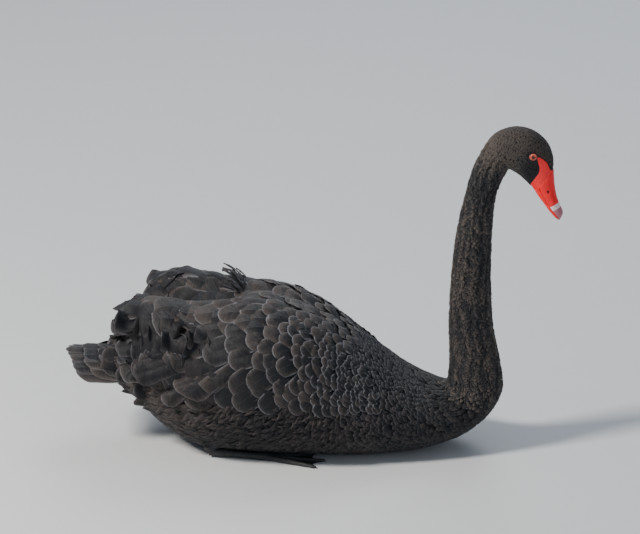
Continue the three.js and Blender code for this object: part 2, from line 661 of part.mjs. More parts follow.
// The bill's upper half, forward of its ridge, and its lower half
function billHalves() {
  const whole = bodyStretch(PARTS.bill + partGap(PARTS.bill), PARTS.tip, 10, 18);
  const forward = (made) => {
    const { min, max } = made.boundingBox();
    return max[0] + max[2] + min[0] + min[2];
  };
  const halves = whole.subtract(mouthCut()).decompose();
  halves.sort((a, b) => forward(b) - forward(a));
  return [halves[0], halves.at(-1)];
}
// The upper half's stretch between two stations
const BILL_ROOM = 8; // how far the cutting stretch reaches past the bill
const billPiece = (upper, from, to) => upper.intersect(bodyStretch(from, to, 2, 8, BILL_ROOM));

const swan = new THREE.Group();
function add(name, made, finish) {
  const mesh = new THREE.Mesh(geometryOf(made), new THREE.MeshStandardMaterial(COLOURS[finish]));
  mesh.name = name;
  swan.add(mesh);
}

for (const name of ["torso", "neck_low", "neck_middle", "neck_top"]) {
  add(name, stretch(name), "plumage");
}
add("head", headSolid(), "plumage");
const [upper, lower] = billHalves();
const nostrils = union([nostril(1), nostril(-1)]);
const billEnd = PARTS.band - 2 * partGap(PARTS.band);
const nailStart = PARTS.nail + 2 * partGap(PARTS.nail);
add("bill_upper", largest(billPiece(upper, PARTS.bill - 0.5, billEnd).subtract(nostrils)), "bill");
add("bill_band", largest(billPiece(upper, PARTS.band, PARTS.nail)), "band");
add("bill_nail", largest(billPiece(upper, nailStart, PARTS.tip)), "nail");
add("bill_lower", largest(lower), "bill");
for (const [word, side] of [["right", -1], ["left", 1]]) {
  add("eye_" + word, eyeBall(side), "eye");
  add("wing_" + word, wingSolid(side), "wing");
  add("leg_" + word, legSolid(side), "foot");
}
add("tail", tailSolid(), "wing");

export default swan;
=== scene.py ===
"""A life-size black swan at rest, dressed with feathers over its solid frame."""
import math

import bmesh
import bpy
import numpy as np
from bpy.props import FloatProperty, FloatVectorProperty, PointerProperty
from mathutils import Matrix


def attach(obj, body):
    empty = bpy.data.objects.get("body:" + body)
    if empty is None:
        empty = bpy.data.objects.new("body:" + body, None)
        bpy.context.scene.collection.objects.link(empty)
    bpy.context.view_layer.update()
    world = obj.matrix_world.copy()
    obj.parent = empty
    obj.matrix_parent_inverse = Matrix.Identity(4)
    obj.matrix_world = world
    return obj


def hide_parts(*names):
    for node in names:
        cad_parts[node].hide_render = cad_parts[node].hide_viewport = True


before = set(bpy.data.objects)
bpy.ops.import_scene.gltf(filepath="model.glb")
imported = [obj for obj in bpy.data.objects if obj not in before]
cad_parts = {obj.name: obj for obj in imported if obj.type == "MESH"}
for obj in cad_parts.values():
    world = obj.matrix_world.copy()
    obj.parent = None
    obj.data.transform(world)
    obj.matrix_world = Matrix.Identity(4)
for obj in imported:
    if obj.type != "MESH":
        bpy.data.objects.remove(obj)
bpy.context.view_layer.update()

bl_info = {
    "name": "Black swan",
    "version": (1, 0, 0),
    "blender": (4, 5, 0),
    "location": "View3D > Sidebar > Swan",
    "description": "Builds a black swan's skin, feathers, bill, eyes and feet",
    "category": "Add Mesh",
}

MM = 0.001

# Body line: back x and z, belly x and z, half width and share of the widest line, in millimetres,
# for each station from the rump over the back and up the neck to the bill's tip
STATIONS = np.array([
    (-276, 146, -280, 112, 34, 0.50),
    (-228, 166, -236, 70, 66, 0.50),
    (-174, 188, -184, 24, 102, 0.52),
    (-117, 210, -122, -4, 130, 0.55),
    (-43, 224, -38, -8, 139, 0.57),
    (32, 207, 46, -8, 134, 0.58),
    (97, 172, 128, -6, 117, 0.58),
    (161, 125, 204, 4, 94, 0.55),
    (206, 102, 264, 24, 73, 0.52),
    (230, 97, 303, 56, 55, 0.50),
    (238, 106, 321, 94, 43, 0.50),
    (241, 140, 316, 138, 36, 0.50),
    (240, 190, 306, 190, 32, 0.50),
    (241, 252, 302, 252, 29, 0.50),
    (247, 316, 302, 316, 26.5, 0.50),
    (255, 366, 304, 362, 24, 0.50),
    (264, 404, 308, 395, 22, 0.50),
    (273, 438, 315, 419, 21, 0.50),
    (286.5, 469, 323, 436, 21, 0.50),
    (306, 497.5, 328.5, 444, 22.5, 0.50),
    (334.5, 509.5, 335.5, 441, 24.5, 0.48),
    (361.8, 505.5, 344.5, 435, 25, 0.48),
    (383.5, 489, 353, 427, 21.5, 0.50),
    (393.2, 467, 360.5, 419, 17.5, 0.52),
    (394.9, 444, 366.8, 411, 15, 0.58),
    (396.6, 421, 372.8, 402, 13.5, 0.62),
    (399.9, 402.5, 380.2, 392.5, 13, 0.64),
    (405, 389, 388, 381.5, 12.5, 0.62),
    (409.2, 377.5, 396.8, 371, 10, 0.60),
    (405.8, 367.5, 402.3, 366, 4, 0.50),
])
SECTION_POWER = 2.1
HEAD, BILL, BAND, NAIL, TIP = 18.7, 24.0, 26.55, 27.1, 29.0
# Least metres to a step of station or of turn that vanes are laid by
LEAST_ALONG, LEAST_AROUND = 0.012, 0.006
# Distances from the middle plane, in metres, where loose vanes are eased in and that they stay under
EASE_FROM, EASE_TO = 0.128, 0.151
# Height over the floor that all vanes keep, and share of the baking map that a small vane covers
FLOOR_GAP, BAKE_PATCH = 0.0002, 0.003
EYE_STATION, EYE_DEPTH, EYE_SUNK = 21.6, 0.4, 3.4
# Bare skin before the eye, as a closed outline in x and z seen from the side
LORE = np.array([(371.5, 469), (374.5, 470.3), (381, 465.5), (386, 460), (389, 453), (390.5, 447.5),
                 (394, 446), (399, 446), (401, 420), (368, 403), (361, 423), (364.5, 429), (369.5, 437),
                 (372.5, 441), (375, 447), (375.2, 454), (373, 463)])

# Nostril: station, turn, half width and half length, and the side-view direction across it
NOSTRIL_STATION, NOSTRIL_TURN = 25.05, 1.18
NOSTRIL_SIZE, NOSTRIL_LEAN = (1.6, 3.1), (0.87, 0.48)

# Coat of small feathers: name, front and rear station and rows of points per vane
COAT_STRETCHES = (("coat_rump", 2.6, 0.12, 5), ("coat_belly_rear", 4.2, 2.6, 5),
                  ("coat_belly_front", 5.9, 4.2, 5), ("coat_breast_rear", 7.6, 5.9, 6),
                  ("coat_breast_front", 9.5, 7.6, 5), ("coat_neck_low", 12.2, 9.5, 5),
                  ("coat_neck_middle", 15.2, 12.2, 5), ("coat_neck_top", 18.9, 15.2, 5),
                  ("coat_head", 23.95, 18.9, 4))

# Wing: stations and turns that it covers, and the ruffles of the right and left side
WING_FRONT, WING_REAR, WING_TOP, WING_LOW = 6.2, 1.0, 0.07, 1.52
WING_THIN, WING_THICK = 2.0, 13.0
RUFFLES = {-1: (1.6, 42.0), 1: (2.2, 42.0)}
RUFFLE_PHI, RUFFLE_ROUND = 0.42, 0.62
SIDES = ((-1, "right"), (1, "left"))
# Right foot, mirrored for the left, in millimetres with y outwards: toes' root, heel, shank, hind toe
# from and to, and each toe's turn outwards and length
FOOT_ROOT, HEEL = (-28, 94, 4.5), (-112, 90, 9.0)
SHANK = ((-100, 86, 26), (-78, 78, 52))
HIND_TOE = ((-34, 89, 5), (-44, 74, 1.6))
TOES = ((-0.36, 79), (0, 92), (0.34, 86))

# Stage: half the floor's side, room light, lamps (place, side, watts and colour) and what they aim
# at, and the camera's aim, degrees round and up, frame's width at the aim and film width
FLOOR_HALF, ROOM_COLOUR, ROOM_LIGHT = 9.0, (0.74, 0.83, 0.95, 1), 0.42
LAMPS = {"key": ((-2.1, -1.3, 2.5), 0.7, 170, (1.0, 0.95, 0.88)),
         "front": ((2.0, -3.0, 1.0), 2.4, 22, (0.84, 0.92, 1.0)),
         "back": ((0.4, 2.6, 2.6), 1.8, 46, (0.88, 0.94, 1.0))}
LAMP_AIM = (0.03, 0, 0.2)
CAMERA_AIM, AZIMUTH, ELEVATION = (0.045, 0, 0.277), 6, 20
FRAME_WIDTH, FILM_WIDTH = 0.96, 36

# Tail: x of its root and tip and how far its sides fall short, half widths there, heights there and
# how far the sides hang
TAIL_ROOT, TAIL_TIP, TAIL_SHORT = -226, -342, 26
TAIL_LENGTH = TAIL_ROOT - TAIL_TIP
TAIL_WIDE, TAIL_HIGH, TAIL_HANG = (42, 60), (132, 127), 16

# Tiers of loose ruffle feathers by side: station, first and last turn, how many, length and width in
# millimetres, angle at the root, bend over the length (tips turn up where negative) and the share of
# the length from which it bends
RUFFLE_TIERS = {
    -1: ((1.3, 0.1, 1.12, 8, 50, 34, 0.25, 0.9, 0), (1.75, 0.06, 1.12, 10, 66, 36, 0.75, 1.8, 0),
         (1.85, 0.05, 0.8, 6, 66, 48, 1.3, 2.6, 0), (1.5, 0.05, 0.8, 6, 54, 46, 1.1, 2.3, 0),
         (2, 0.45, 1.12, 7, 72, 36, 0.25, -1.2, 0.55), (2.35, 0.1, 1.08, 9, 72, 40, 0.45, 1.2, 0),
         (2.9, 0.42, 1.06, 8, 96, 40, 0.22, -1.75, 0.62),
         (3.1, 0.62, 1.1, 5, 78, 34, 0.15, -1.5, 0.6),
         (3.62, 0.48, 1.04, 8, 100, 38, 0.2, -1.8, 0.64),
         (3.8, 0.6, 1, 5, 78, 32, 0.12, -1.4, 0.62)),
    1: ((1.45, 0.06, 1.14, 9, 36, 42, 0.1, 0.6, 0), (1.8, 0.1, 1.12, 9, 42, 44, 0.25, 1, 0),
        (2.1, 0.06, 1.12, 8, 52, 44, 0.8, 1.7, 0), (2.55, 0.04, 0.95, 7, 66, 48, 0.6, 1.4, 0),
        (2.95, 0.04, 0.8, 6, 76, 50, 0.65, 1.5, 0), (2.45, 0.04, 1.12, 8, 66, 52, 0.8, 1.7, 0),
        (2.8, 0.06, 1.05, 7, 88, 58, 0.95, 2, 0), (2.6, 0.05, 0.28, 4, 62, 48, 0.15, 0.4, 0),
        (3.05, 0.05, 0.28, 4, 62, 48, 0.15, 0.4, 0), (2.3, 0.1, 0.34, 5, 60, 50, 0.2, 0.9, 0),
        (2.9, 0.72, 1.08, 5, 78, 36, 0.2, -1.3, 0.6), (3.15, 0.05, 0.9, 7, 84, 54, 0.85, 1.8, 0),
        (3.25, 0.7, 1.08, 6, 80, 36, 0.2, -1.5, 0.6),
        (3.75, 0.62, 1.02, 7, 86, 36, 0.2, -1.6, 0.62),
        (4, 0.66, 1, 5, 74, 32, 0.12, -1.3, 0.62)),
}


def mix(a, b, share):
    """a where share is 0, b where it is 1, and a straight line between."""
    return a + (b - a) * share


def smooth(x, low=0.0, high=1.0):
    """0 below low, 1 above high, and three x squared less two x cubed between."""
    x = np.clip((x - low) / (high - low), 0, 1)
    return x * x * (3 - 2 * x)


def unit(v):
    """Vectors divided by their length."""
    return v / np.maximum(np.linalg.norm(v, axis=-1, keepdims=True), 1e-12)


def rows_at(table, t):
    """Catmull-Rom curve through a table's rows: half of 2b + (c-a)f + (2a-5b+4c-d)f2 +
    (3b-a-3c+d)f3 between rows b and c, with the end rows mirrored."""
    count = len(table)
    padded = np.vstack([2 * table[0] - table[1], table, 2 * table[-1] - table[-2]])
    t = np.clip(t, 0, count - 1)
    i = np.clip(np.floor(t).astype(int), 0, count - 2)
    f = (t - i)[..., None]
    a, b, c, d = padded[i], padded[i + 1], padded[i + 2], padded[i + 3]
    return 0.5 * (2 * b + (c - a) * f + (2 * a - 5 * b + 4 * c - d) * f ** 2
                  + (3 * b - a - 3 * c + d) * f ** 3)


def body(t, phi, grow=0.0):
    """Points of the body at station t and turn phi, 0 on the back and pi on the belly: half width
    times |sin phi| to 2/power sideways, and |cos phi| to 2/power from the widest line up to the
    back point or down to the belly point. grow widens the section, in millimetres."""
    t, phi, grow = np.broadcast_arrays(t, phi, grow)
    row = rows_at(STATIONS, t)
    back, line = row[..., 0:2], row[..., 2:4] - row[..., 0:2]
    depth = np.linalg.norm(line, axis=-1)
    line = line / depth[..., None]
    power = 2 / SECTION_POWER
    across = np.sign(np.sin(phi)) * np.abs(np.sin(phi)) ** power
    along = np.abs(np.cos(phi)) ** power
    widest = row[..., 5] * depth
    down = np.where(np.cos(phi) > 0, widest - (widest + grow) * along,
                    widest + (depth - widest + grow) * along)
    xz = back + line * down[..., None]
    y = (row[..., 4] + grow) * across
    return np.stack([xz[..., 0], y, np.maximum(xz[..., 1], 0)], -1) * MM


def body_frame(t, phi):
    """Point, way out and size of a step of t and of phi, by central differences: the way out is
    the cross product of the way round and the way to the rear."""
    step = 0.02
    here = body(t, phi)
    ahead = (body(t + step, phi) - body(t - step, phi)) / (2 * step)
    around = (body(t, phi + step) - body(t, phi - step)) / (2 * step)
    out = unit(np.cross(around, -ahead))
    return here, out, np.linalg.norm(ahead, axis=-1), np.linalg.norm(around, axis=-1)


def furrow(t, phi):
    """Furrows up the neck in clumps, between -1 and 1: waves round the neck, whose phase wanders up
    it, times slower waves along it."""
    wander = 1.1 * np.sin(t * 2.3) + 0.8 * np.sin(t * 5.9 + 2 * phi)
    across = np.sin(phi * 13 + wander + 1.3 * np.sin(phi * 4 + t * 1.7))
    along = np.sin(t * 13.5 + 1.9 * np.sin(phi * 6 + t * 1.3) + 1.5 * np.sin(t * 3.1))
    return 0.62 * across + 0.38 * along * np.cos(phi * 5 + t)


def flank_line(t):
    """Turn at which the folded wing dips under the soft flank feathers at station t."""
    return mix(mix(1.02, 1.27, smooth(t, 2.7, 4.6)), 1.15, smooth(t, 5.4, 6.3))


def neck_share(t):
    """1 on the neck, 0 on breast and head."""
    return smooth(t, 8.8, 10.6) * (1 - smooth(t, 17.6, 19.4))


def coat_frame(t, phi):
    """As body_frame, with the neck's furrows."""
    here, out, along, around = body_frame(t, phi)
    height = 1.5 * neck_share(t) * np.minimum(furrow(t, phi), 0.55)
    return here + out * (height * MM)[..., None], out, along, around


def wing_height(t, phi):
    """Height of the folded wing over the body in millimetres: a pad, thin at its borders, and a
    bell-shaped ruffle at the rear, placed by side."""
    side = np.where(phi < 0, -1, 1)
    turn = np.abs(phi)
    along = np.clip((WING_FRONT - t) / (WING_FRONT - WING_REAR), 0, 1)
    across = np.clip((turn - WING_TOP) / (WING_LOW - WING_TOP), 0, 1)
    border = np.minimum(smooth(along / 0.35), smooth((1 - along) / 0.15))
    rim = np.minimum(smooth(across / 0.12), smooth((1 - across) / 0.35))
    station = np.where(side < 0, RUFFLES[-1][0], RUFFLES[1][0])
    height = np.where(side < 0, RUFFLES[-1][1], RUFFLES[1][1])
    bell = np.exp(-(t - station) ** 2) * np.exp(-((turn - RUFFLE_PHI) / RUFFLE_ROUND) ** 2)
    return WING_THIN + (WING_THICK - WING_THIN) * border * rim + height * bell * (0.35 + 0.65 * rim)


def wing_frame(t, phi):
    """As body_frame, on the surface of the folded wing."""
    here, out, along, around = body_frame(t, phi)
    return here + out * (wing_height(t, phi) * MM)[..., None], out, along, around


def lore_depth(x, z):
    """How far a side-view point lies inside the bare skin before the eye, in millimetres: the
    distance to the nearest edge of its outline, negative outside."""
    a, b = LORE, np.roll(LORE, -1, axis=0)
    p = np.stack([x, z], -1)[..., None, :]
    edge = b - a
    share = np.clip(((p - a) * edge).sum(-1) / (edge ** 2).sum(-1), 0, 1)
    gap = np.linalg.norm(p - a - edge * share[..., None], axis=-1).min(-1)
    rise = np.where(edge[:, 1] == 0, 1, edge[:, 1])
    crosses = ((a[:, 1] > p[..., 1]) != (b[:, 1] > p[..., 1])) & (
        p[..., 0] < a[:, 0] + (p[..., 1] - a[:, 1]) * edge[:, 0] / rise)
    return np.where(crosses.sum(-1) % 2 == 1, gap, -gap)


def eye_centre(side):
    """Centre of an eyeball: the head's side at the eye, moved in by its sunk depth."""
    rim = body(np.array(EYE_STATION), np.array(side * math.acos(1 - 2 * EYE_DEPTH))) / MM
    return np.array([rim[0], rim[1] - side * EYE_SUNK, rim[2]])


def coat_depth(t):
    """Depth of the coat in millimetres: thick on the body, thinner up the neck, thin on the head."""
    return mix(mix(6.5, 4.0, smooth(t, 8.5, 11)), 1.3, smooth(t, 17, 19.6))


# ---------------------------------------------------------------- meshes
def mesh_piece(name, points, quads, tris=None, points_data=None, sharp=None, uv=None):
    """A mesh object from arrays of points in metres and of faces, with named values on its points,
    sharp edges as a test on pairs of points, and a baking map given for each point."""
    tris = np.empty((0, 3), int) if tris is None else tris
    mesh = bpy.data.meshes.new(name)
    corners = np.concatenate([quads.ravel(), tris.ravel()]).astype(np.int32)
    starts = np.concatenate([np.arange(len(quads)) * 4, len(quads) * 4 + np.arange(len(tris)) * 3])
    mesh.vertices.add(len(points))
    mesh.vertices.foreach_set("co", np.ascontiguousarray(points, dtype=np.float32).ravel())
    mesh.loops.add(len(corners))
    mesh.loops.foreach_set("vertex_index", corners)
    mesh.polygons.add(len(starts))
    mesh.polygons.foreach_set("loop_start", starts.astype(np.int32))
    mesh.update(calc_edges=True)
    for label, values in (points_data or {}).items():
        kind, slot = ("FLOAT_VECTOR", "vector") if values.ndim == 2 else ("FLOAT", "value")
        data = mesh.attributes.new(label, kind, "POINT").data
        data.foreach_set(slot, np.ascontiguousarray(values, dtype=np.float32).ravel())
    if sharp is not None:
        ends = np.empty(len(mesh.edges) * 2, np.int32)
        mesh.edges.foreach_get("vertices", ends)
        marks = sharp(ends.reshape(-1, 2))
        mesh.attributes.new("sharp_edge", "BOOLEAN", "EDGE").data.foreach_set("value", marks)
    if uv is not None:
        layer = mesh.uv_layers.new(name="OFBake")
        layer.data.foreach_set("uv", np.ascontiguousarray(uv[corners], dtype=np.float32).ravel())
    piece = bpy.data.objects.new(name, mesh)
    bpy.context.scene.collection.objects.link(piece)
    return piece


def finish(piece, material, slot, *nodes):
    """Gives a piece its material and body, and hides the solids that it stands for. slot is not used.
    """
    piece.data.materials.append(material)
    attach(piece, "root")
    if nodes:
        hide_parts(*nodes)
    return piece


def tube_faces(rings, around, bent_round=False):
    """Faces between rings of points, in order along the tube, with the last ring joined to the
    first where the tube is bent round."""
    i, j = np.meshgrid(np.arange(rings - (not bent_round)), np.arange(around), indexing="ij")
    here, after = i * around, (i + 1) % rings * around
    nearer, further = j, (j + 1) % around
    return np.stack([here + nearer, here + further, after + further, after + nearer], -1).reshape(-1, 4)


def capped_tube(rings):
    """Points and faces of a closed tube from an array of rings, ended by a point in each end's
    middle."""
    count, around = rings.shape[:2]
    points = np.concatenate([rings.reshape(-1, 3), rings[0].mean(0)[None], rings[-1].mean(0)[None]])
    j = np.arange(around)
    start, end = count * around, count * around + 1
    first = np.stack([np.full(around, start), (j + 1) % around, j], -1)
    last = (count - 1) * around
    second = np.stack([np.full(around, end), last + j, last + (j + 1) % around], -1)
    return points, tube_faces(count, around), np.concatenate([first, second])


def join_parts(parts):
    """Points, quads and triangles of several parts as one set."""
    points, quads, tris, count = [], [], [], 0
    for p, q, t in parts:
        points.append(p)
        quads.append(q + count)
        tris.append(t + count)
        count += len(p)
    return np.concatenate(points), np.concatenate(quads), np.concatenate(tris)


def solid_piece(name, points, quads, tris=None, points_data=None):
    """A closed mesh object, as by mesh_piece, with all its faces turned outwards."""
    piece = mesh_piece(name, points, quads, tris, points_data)
    made = bmesh.new()
    made.from_mesh(piece.data)
    bmesh.ops.recalc_face_normals(made, faces=made.faces)
    made.to_mesh(piece.data)
    made.free()
    return piece


# ---------------------------------------------------------------- feathers
def lens_faces(rows, cols):
    """Faces of one vane: a top and a bottom grid that share their rim, so that the vane is closed,
    and a table that says which pairs of its points are rim edges."""
    top = np.arange(rows * cols).reshape(rows, cols)
    low = top.copy()
    low[1:-1, 1:-1] = rows * cols + np.arange((rows - 2) * (cols - 2)).reshape(rows - 2, cols - 2)
    up = np.stack([top[:-1, :-1], top[:-1, 1:], top[1:, 1:], top[1:, :-1]], -1).reshape(-1, 4)
    down = np.stack([low[:-1, :-1], low[1:, :-1], low[1:, 1:], low[:-1, 1:]], -1).reshape(-1, 4)
    rim = np.concatenate([top[0, :-1], top[:-1, -1], top[-1, :0:-1], top[:0:-1, 0]])
    size = rows * cols + (rows - 2) * (cols - 2)
    table = np.zeros((size, size), bool)
    table[rim, np.roll(rim, -1)] = True
    return np.concatenate([up, down]), table | table.T, size


def half_share(a, root, taper):
    """Half width share of a vane at share a of its length: root at first, 1 from four tenths on,
    less by taper at the end."""
    return mix(root, 1.0, smooth(a, 0.0, 0.4)) * (1 - taper * smooth(a, 0.5, 1.0))


def vane_shares(rows, cols):
    """Shares of the length, and shares of the half width spaced like the sine of even angles."""
    return np.linspace(0, 1, rows), np.sin(np.linspace(-math.pi / 2, math.pi / 2, cols))


def tip_arc(a, b, half, oval):
    """How far a column lies behind the middle one so that the tip is an arc of the half width."""
    return oval * half * (1 - np.sqrt(np.clip(1 - b ** 2, 0, 1))) * a ** 1.6


def vane_mesh(name, top, bottom, marks, form, root_map, cells):
    """One mesh of closed vanes from the grids of their upper and lower faces. marks and form are the
    values that the finish reads. Each vane's place on the baking map is a small patch at root_map,
    or, with cells, a cell of its own, in which a rim 6 % wide stays free."""
    count, rows, cols = top.shape[:3]

    def both(values):
        width = values.shape[-1]
        values = np.broadcast_to(values, (count, rows, cols, width))
        inner = values[:, 1:-1, 1:-1].reshape(count, -1, width)
        return np.concatenate([values.reshape(count, -1, width), inner], 1).reshape(-1, width)

    inner = bottom[:, 1:-1, 1:-1].reshape(count, -1, 3)
    points = np.concatenate([top.reshape(count, -1, 3), inner], 1).reshape(-1, 3)
    points[:, 2] = np.maximum(points[:, 2], FLOOR_GAP)
    a, b = marks[..., 0], marks[..., 1]
    if cells:
        grid = math.ceil(math.sqrt(count))
        cell = np.stack([np.arange(count) % grid, np.arange(count) // grid], -1)[:, None, None]
        spot = (cell + 0.06 + 0.88 * np.stack([(b + 1) / 2, a], -1)) / grid
    else:
        spot = root_map[:, None, None] * 0.98 + 0.01 + BAKE_PATCH * np.stack([a - 0.5, b / 2], -1)
    faces, rims, size = lens_faces(rows, cols)
    quads = (faces[None] + (np.arange(count) * size)[:, None, None]).reshape(-1, 4)
    return mesh_piece(name, points, quads, points_data={"vane": both(marks), "form": both(form)},
                      sharp=lambda ends: rims[ends[:, 0] % size, ends[:, 1] % size], uv=both(spot))


def hold_in(points):
    """Points whose distance from the middle plane, past the one to ease from, grows by the gap to
    the limit times the hyperbolic tangent of its excess over that gap."""
    gap = EASE_TO - EASE_FROM
    side = np.abs(points[..., 1])
    eased = EASE_FROM + gap * np.tanh(np.maximum(side - EASE_FROM, 0) / gap)
    points[..., 1] = np.sign(points[..., 1]) * np.where(side > EASE_FROM, eased, side)
    return points


def steps_at(t, phi):
    """Metres to a step of station and to one of turn, kept from falling to nothing."""
    _, _, along, around = body_frame(t, phi)
    return np.maximum(along, LEAST_ALONG), np.maximum(around, LEAST_AROUND)


def spread(count, *values):
    """Each value as one number for each of count vanes, shaped to meet rows and columns."""
    return [np.broadcast_to(np.asarray(v, float), (count,))[:, None, None] for v in values]


def lay_vanes(name, surface, t, phi, length, width, turn, rise, seed, rows=5, cols=5, taper=0.0,
              root=0.5, oval=1.0, cup=0.6, bend=0.0, wave=0.0, droop=0.0, shingle=0.0, thick=0.35,
              tone=0.0, light=None, cells=False):
    """One mesh of vanes that lie on a surface. Each starts at its station t and turn phi and walks
    to the rear in steps of its length, turned down by turn plus bend times the share walked. Its
    height goes from rise[0] at the root to rise[1] near the tip and drops by droop at the end; cup
    rounds it across, wave ripples its edges and shingle tilts it sideways. Sizes in millimetres."""
    rng = np.random.default_rng(seed)
    count = len(t)
    side = np.where(phi < 0, -1.0, 1.0)
    length, width, turn, bend = [v[:, 0, 0] for v in spread(count, length, width, turn, bend)]
    a, b = vane_shares(rows, cols)
    u_line, v_line = [t], [phi]
    for k in range(1, rows):
        way = (turn + bend * (a[k - 1] + a[k]) / 2) * side
        along, around = steps_at(u_line[-1], v_line[-1])
        step = length * (a[k] - a[k - 1]) * MM
        u_line.append(np.maximum(u_line[-1] - step * np.cos(way) / along, 0.0))
        v_line.append(v_line[-1] + step * np.sin(way) / around)
    u_line, v_line = np.stack(u_line, 1), np.stack(v_line, 1)
    along, around = (size[..., None] for size in steps_at(u_line, v_line))
    way = ((turn[:, None] + bend[:, None] * a) * side[:, None])[..., None]
    half = width[:, None] / 2 * half_share(a, root, taper)
    off = half[..., None] * b * MM
    back = tip_arc(a[:, None], b, half[:, -1:, None], oval) * MM
    u = u_line[..., None] + (off * np.sin(way) + back * np.cos(way)) / along
    v = v_line[..., None] + (off * np.cos(way) - back * np.sin(way)) / around
    place, out, _, _ = surface(np.clip(u, 0, TIP), v)
    phase = rng.uniform(0, 6.3, (count, 1, 1))
    aa, bb = a[None, :, None], b[None, None, :]
    low, high, cup, wave, droop, shingle, thick = spread(count, *rise, cup, wave, droop, shingle, thick)
    height = mix(low, high, smooth(aa, 0.0, 0.85)) - droop * smooth(aa, 0.7, 1.0)
    height = height + cup * (1 - bb ** 2) * smooth(aa, 0.1, 0.8)
    height = height + shingle * bb * side[:, None, None] * aa
    height = height + wave * np.sin(7 * aa + phase + 1.5 * bb) * np.abs(bb) ** 1.5 * aa
    lens = 0.5 * thick * np.sin(math.pi * np.clip(aa * 0.9 + 0.05, 0, 1)) * (1 - bb ** 2)
    top = place + out * ((height + lens) * MM)[..., None]
    bottom = place + out * ((height - lens) * MM)[..., None]
    chance, shade = spread(count, rng.uniform(0, 1, count) if light is None else light, tone)
    marks = np.stack(np.broadcast_arrays(aa, bb, chance), -1)
    form = np.stack([*spread(count, length, width / 2), shade], -1)
    root_map = np.stack([t / TIP, phi / (2 * math.pi) + 0.5], -1)
    return vane_mesh(name, top, bottom, marks, form, root_map, cells)


def loose_vanes(name, roots, ways, outs, length, width, rise, curl, seed, rows=16, cols=11, taper=0.0,
                root=0.45, oval=0.8, cup=5.0, start=0.0, sway=0.0, twist=0.0, wave=0.0, ripples=8.0,
                sag=0.0, thick=0.8, tone=0.0, root_map=None):
    """One mesh of vanes that stand off. Each leaves its root along ways, at the angle rise towards
    outs, and bends back by curl along its length from the share start on: along is the sum of
    cos(rise - curl a), over that of sin(rise - curl a), with a the share past start. sway bends it
    sideways, twist turns it about its shaft, sag lowers its end, cup rolls its edges down and wave
    ripples them. Sizes in millimetres, angles in radians."""
    rng = np.random.default_rng(seed)
    count = len(roots)
    a, b = vane_shares(rows, cols)
    rise, curl, length, width, start = [v[:, 0, 0][:, None] for v in
                                        spread(count, rise, curl, length, width, start)]
    angle = rise - curl * np.clip((a - start) / (1 - start), 0, 1)
    middle = (angle[:, 1:] + angle[:, :-1]) / 2
    zero = np.zeros((count, 1))
    step = length / (rows - 1)
    along = np.concatenate([zero, np.cumsum(np.cos(middle) * step, 1)], 1)[..., None]
    over = np.concatenate([zero, np.cumsum(np.sin(middle) * step, 1)], 1)[..., None]
    across = unit(np.cross(ways, outs))[:, None]
    ways, outs = ways[:, None], outs[:, None]
    sway, sag = [v for v in spread(count, sway, sag)]
    share = a[None, :, None]
    line = ways * along + outs * over + across * sway * share ** 2
    line = line - np.array([0, 0, 1.0]) * sag * share ** 2
    ahead = unit(np.gradient(line, axis=1))
    normal = unit(np.cross(across, ahead))
    spin = np.broadcast_to(np.asarray(twist, float), (count,))[:, None, None] * share
    side_way = unit(np.cross(ahead, normal))
    across, normal = (side_way * np.cos(spin) + normal * np.sin(spin),
                      normal * np.cos(spin) - side_way * np.sin(spin))
    half = (width / 2 * half_share(a, root, taper))[..., None]
    bb = b[None, None, :]
    off = half * bb
    back = tip_arc(share, bb, half[:, -1:], oval)
    cup, wave, thick = spread(count, cup, wave, thick)
    phase = rng.uniform(0, 6.3, (count, 1, 1))
    fall = -cup * bb ** 2 * smooth(share, 0, 0.5)
    fall = fall + wave * np.sin(ripples * share + phase + 1.8 * bb) * np.abs(bb) ** 1.5 * share
    lens = 0.5 * thick * np.sin(math.pi * np.clip(share * 0.9 + 0.05, 0, 1)) * (1 - bb ** 2)
    spine = line[:, :, None] - ahead[:, :, None] * back[..., None] + across[:, :, None] * off[..., None]
    base = roots[:, None, None]
    top = base + (spine + normal[:, :, None] * (fall + lens)[..., None]) * MM
    bottom = base + (spine + normal[:, :, None] * (fall - lens)[..., None]) * MM
    chance, shade = spread(count, rng.uniform(0, 1, count), tone)
    marks = np.stack(np.broadcast_arrays(share, bb, chance), -1)
    form = np.stack([*spread(count, length[:, 0], width[:, 0] / 2), shade], -1)
    return vane_mesh(name, hold_in(top), hold_in(bottom), marks, form, root_map, root_map is None)


def ring_roots(front, rear, row_gap, across_gap, seed, jitter=0.25):
    """Roots in brick-laid rings from station front to rear. row_gap and across_gap give the
    millimetres between rows and in a row at a station. Where the rings crowd on one side, roots are
    dropped by the share by which they do."""
    rng = np.random.default_rng(seed)
    turns = np.linspace(-math.pi, math.pi, 241)
    t, odd, ts, phis = front, 0, [], []
    while t > rear:
        ring = body(np.full_like(turns, t), turns)
        arc = np.concatenate([[0], np.cumsum(np.linalg.norm(np.diff(ring, axis=0), axis=1))]) / MM
        _, _, along, _ = body_frame(np.full_like(turns, t), turns)
        along = along / MM
        count = max(int(arc[-1] / across_gap(t)), 4)
        s = (np.arange(count) + 0.5 * odd + rng.uniform(-jitter, jitter, count)) / count
        phi = np.interp((s % 1.0) * arc[-1], arc, turns)
        kept = rng.uniform(0, 1, count) < np.interp(phi, turns, along) / along.max() * 1.15
        gap = row_gap(t) / along.max()
        ts.append(t + rng.uniform(-jitter, jitter, count)[kept] * gap)
        phis.append(phi[kept])
        t, odd = t - gap, 1 - odd
    return np.concatenate(ts), np.concatenate(phis)


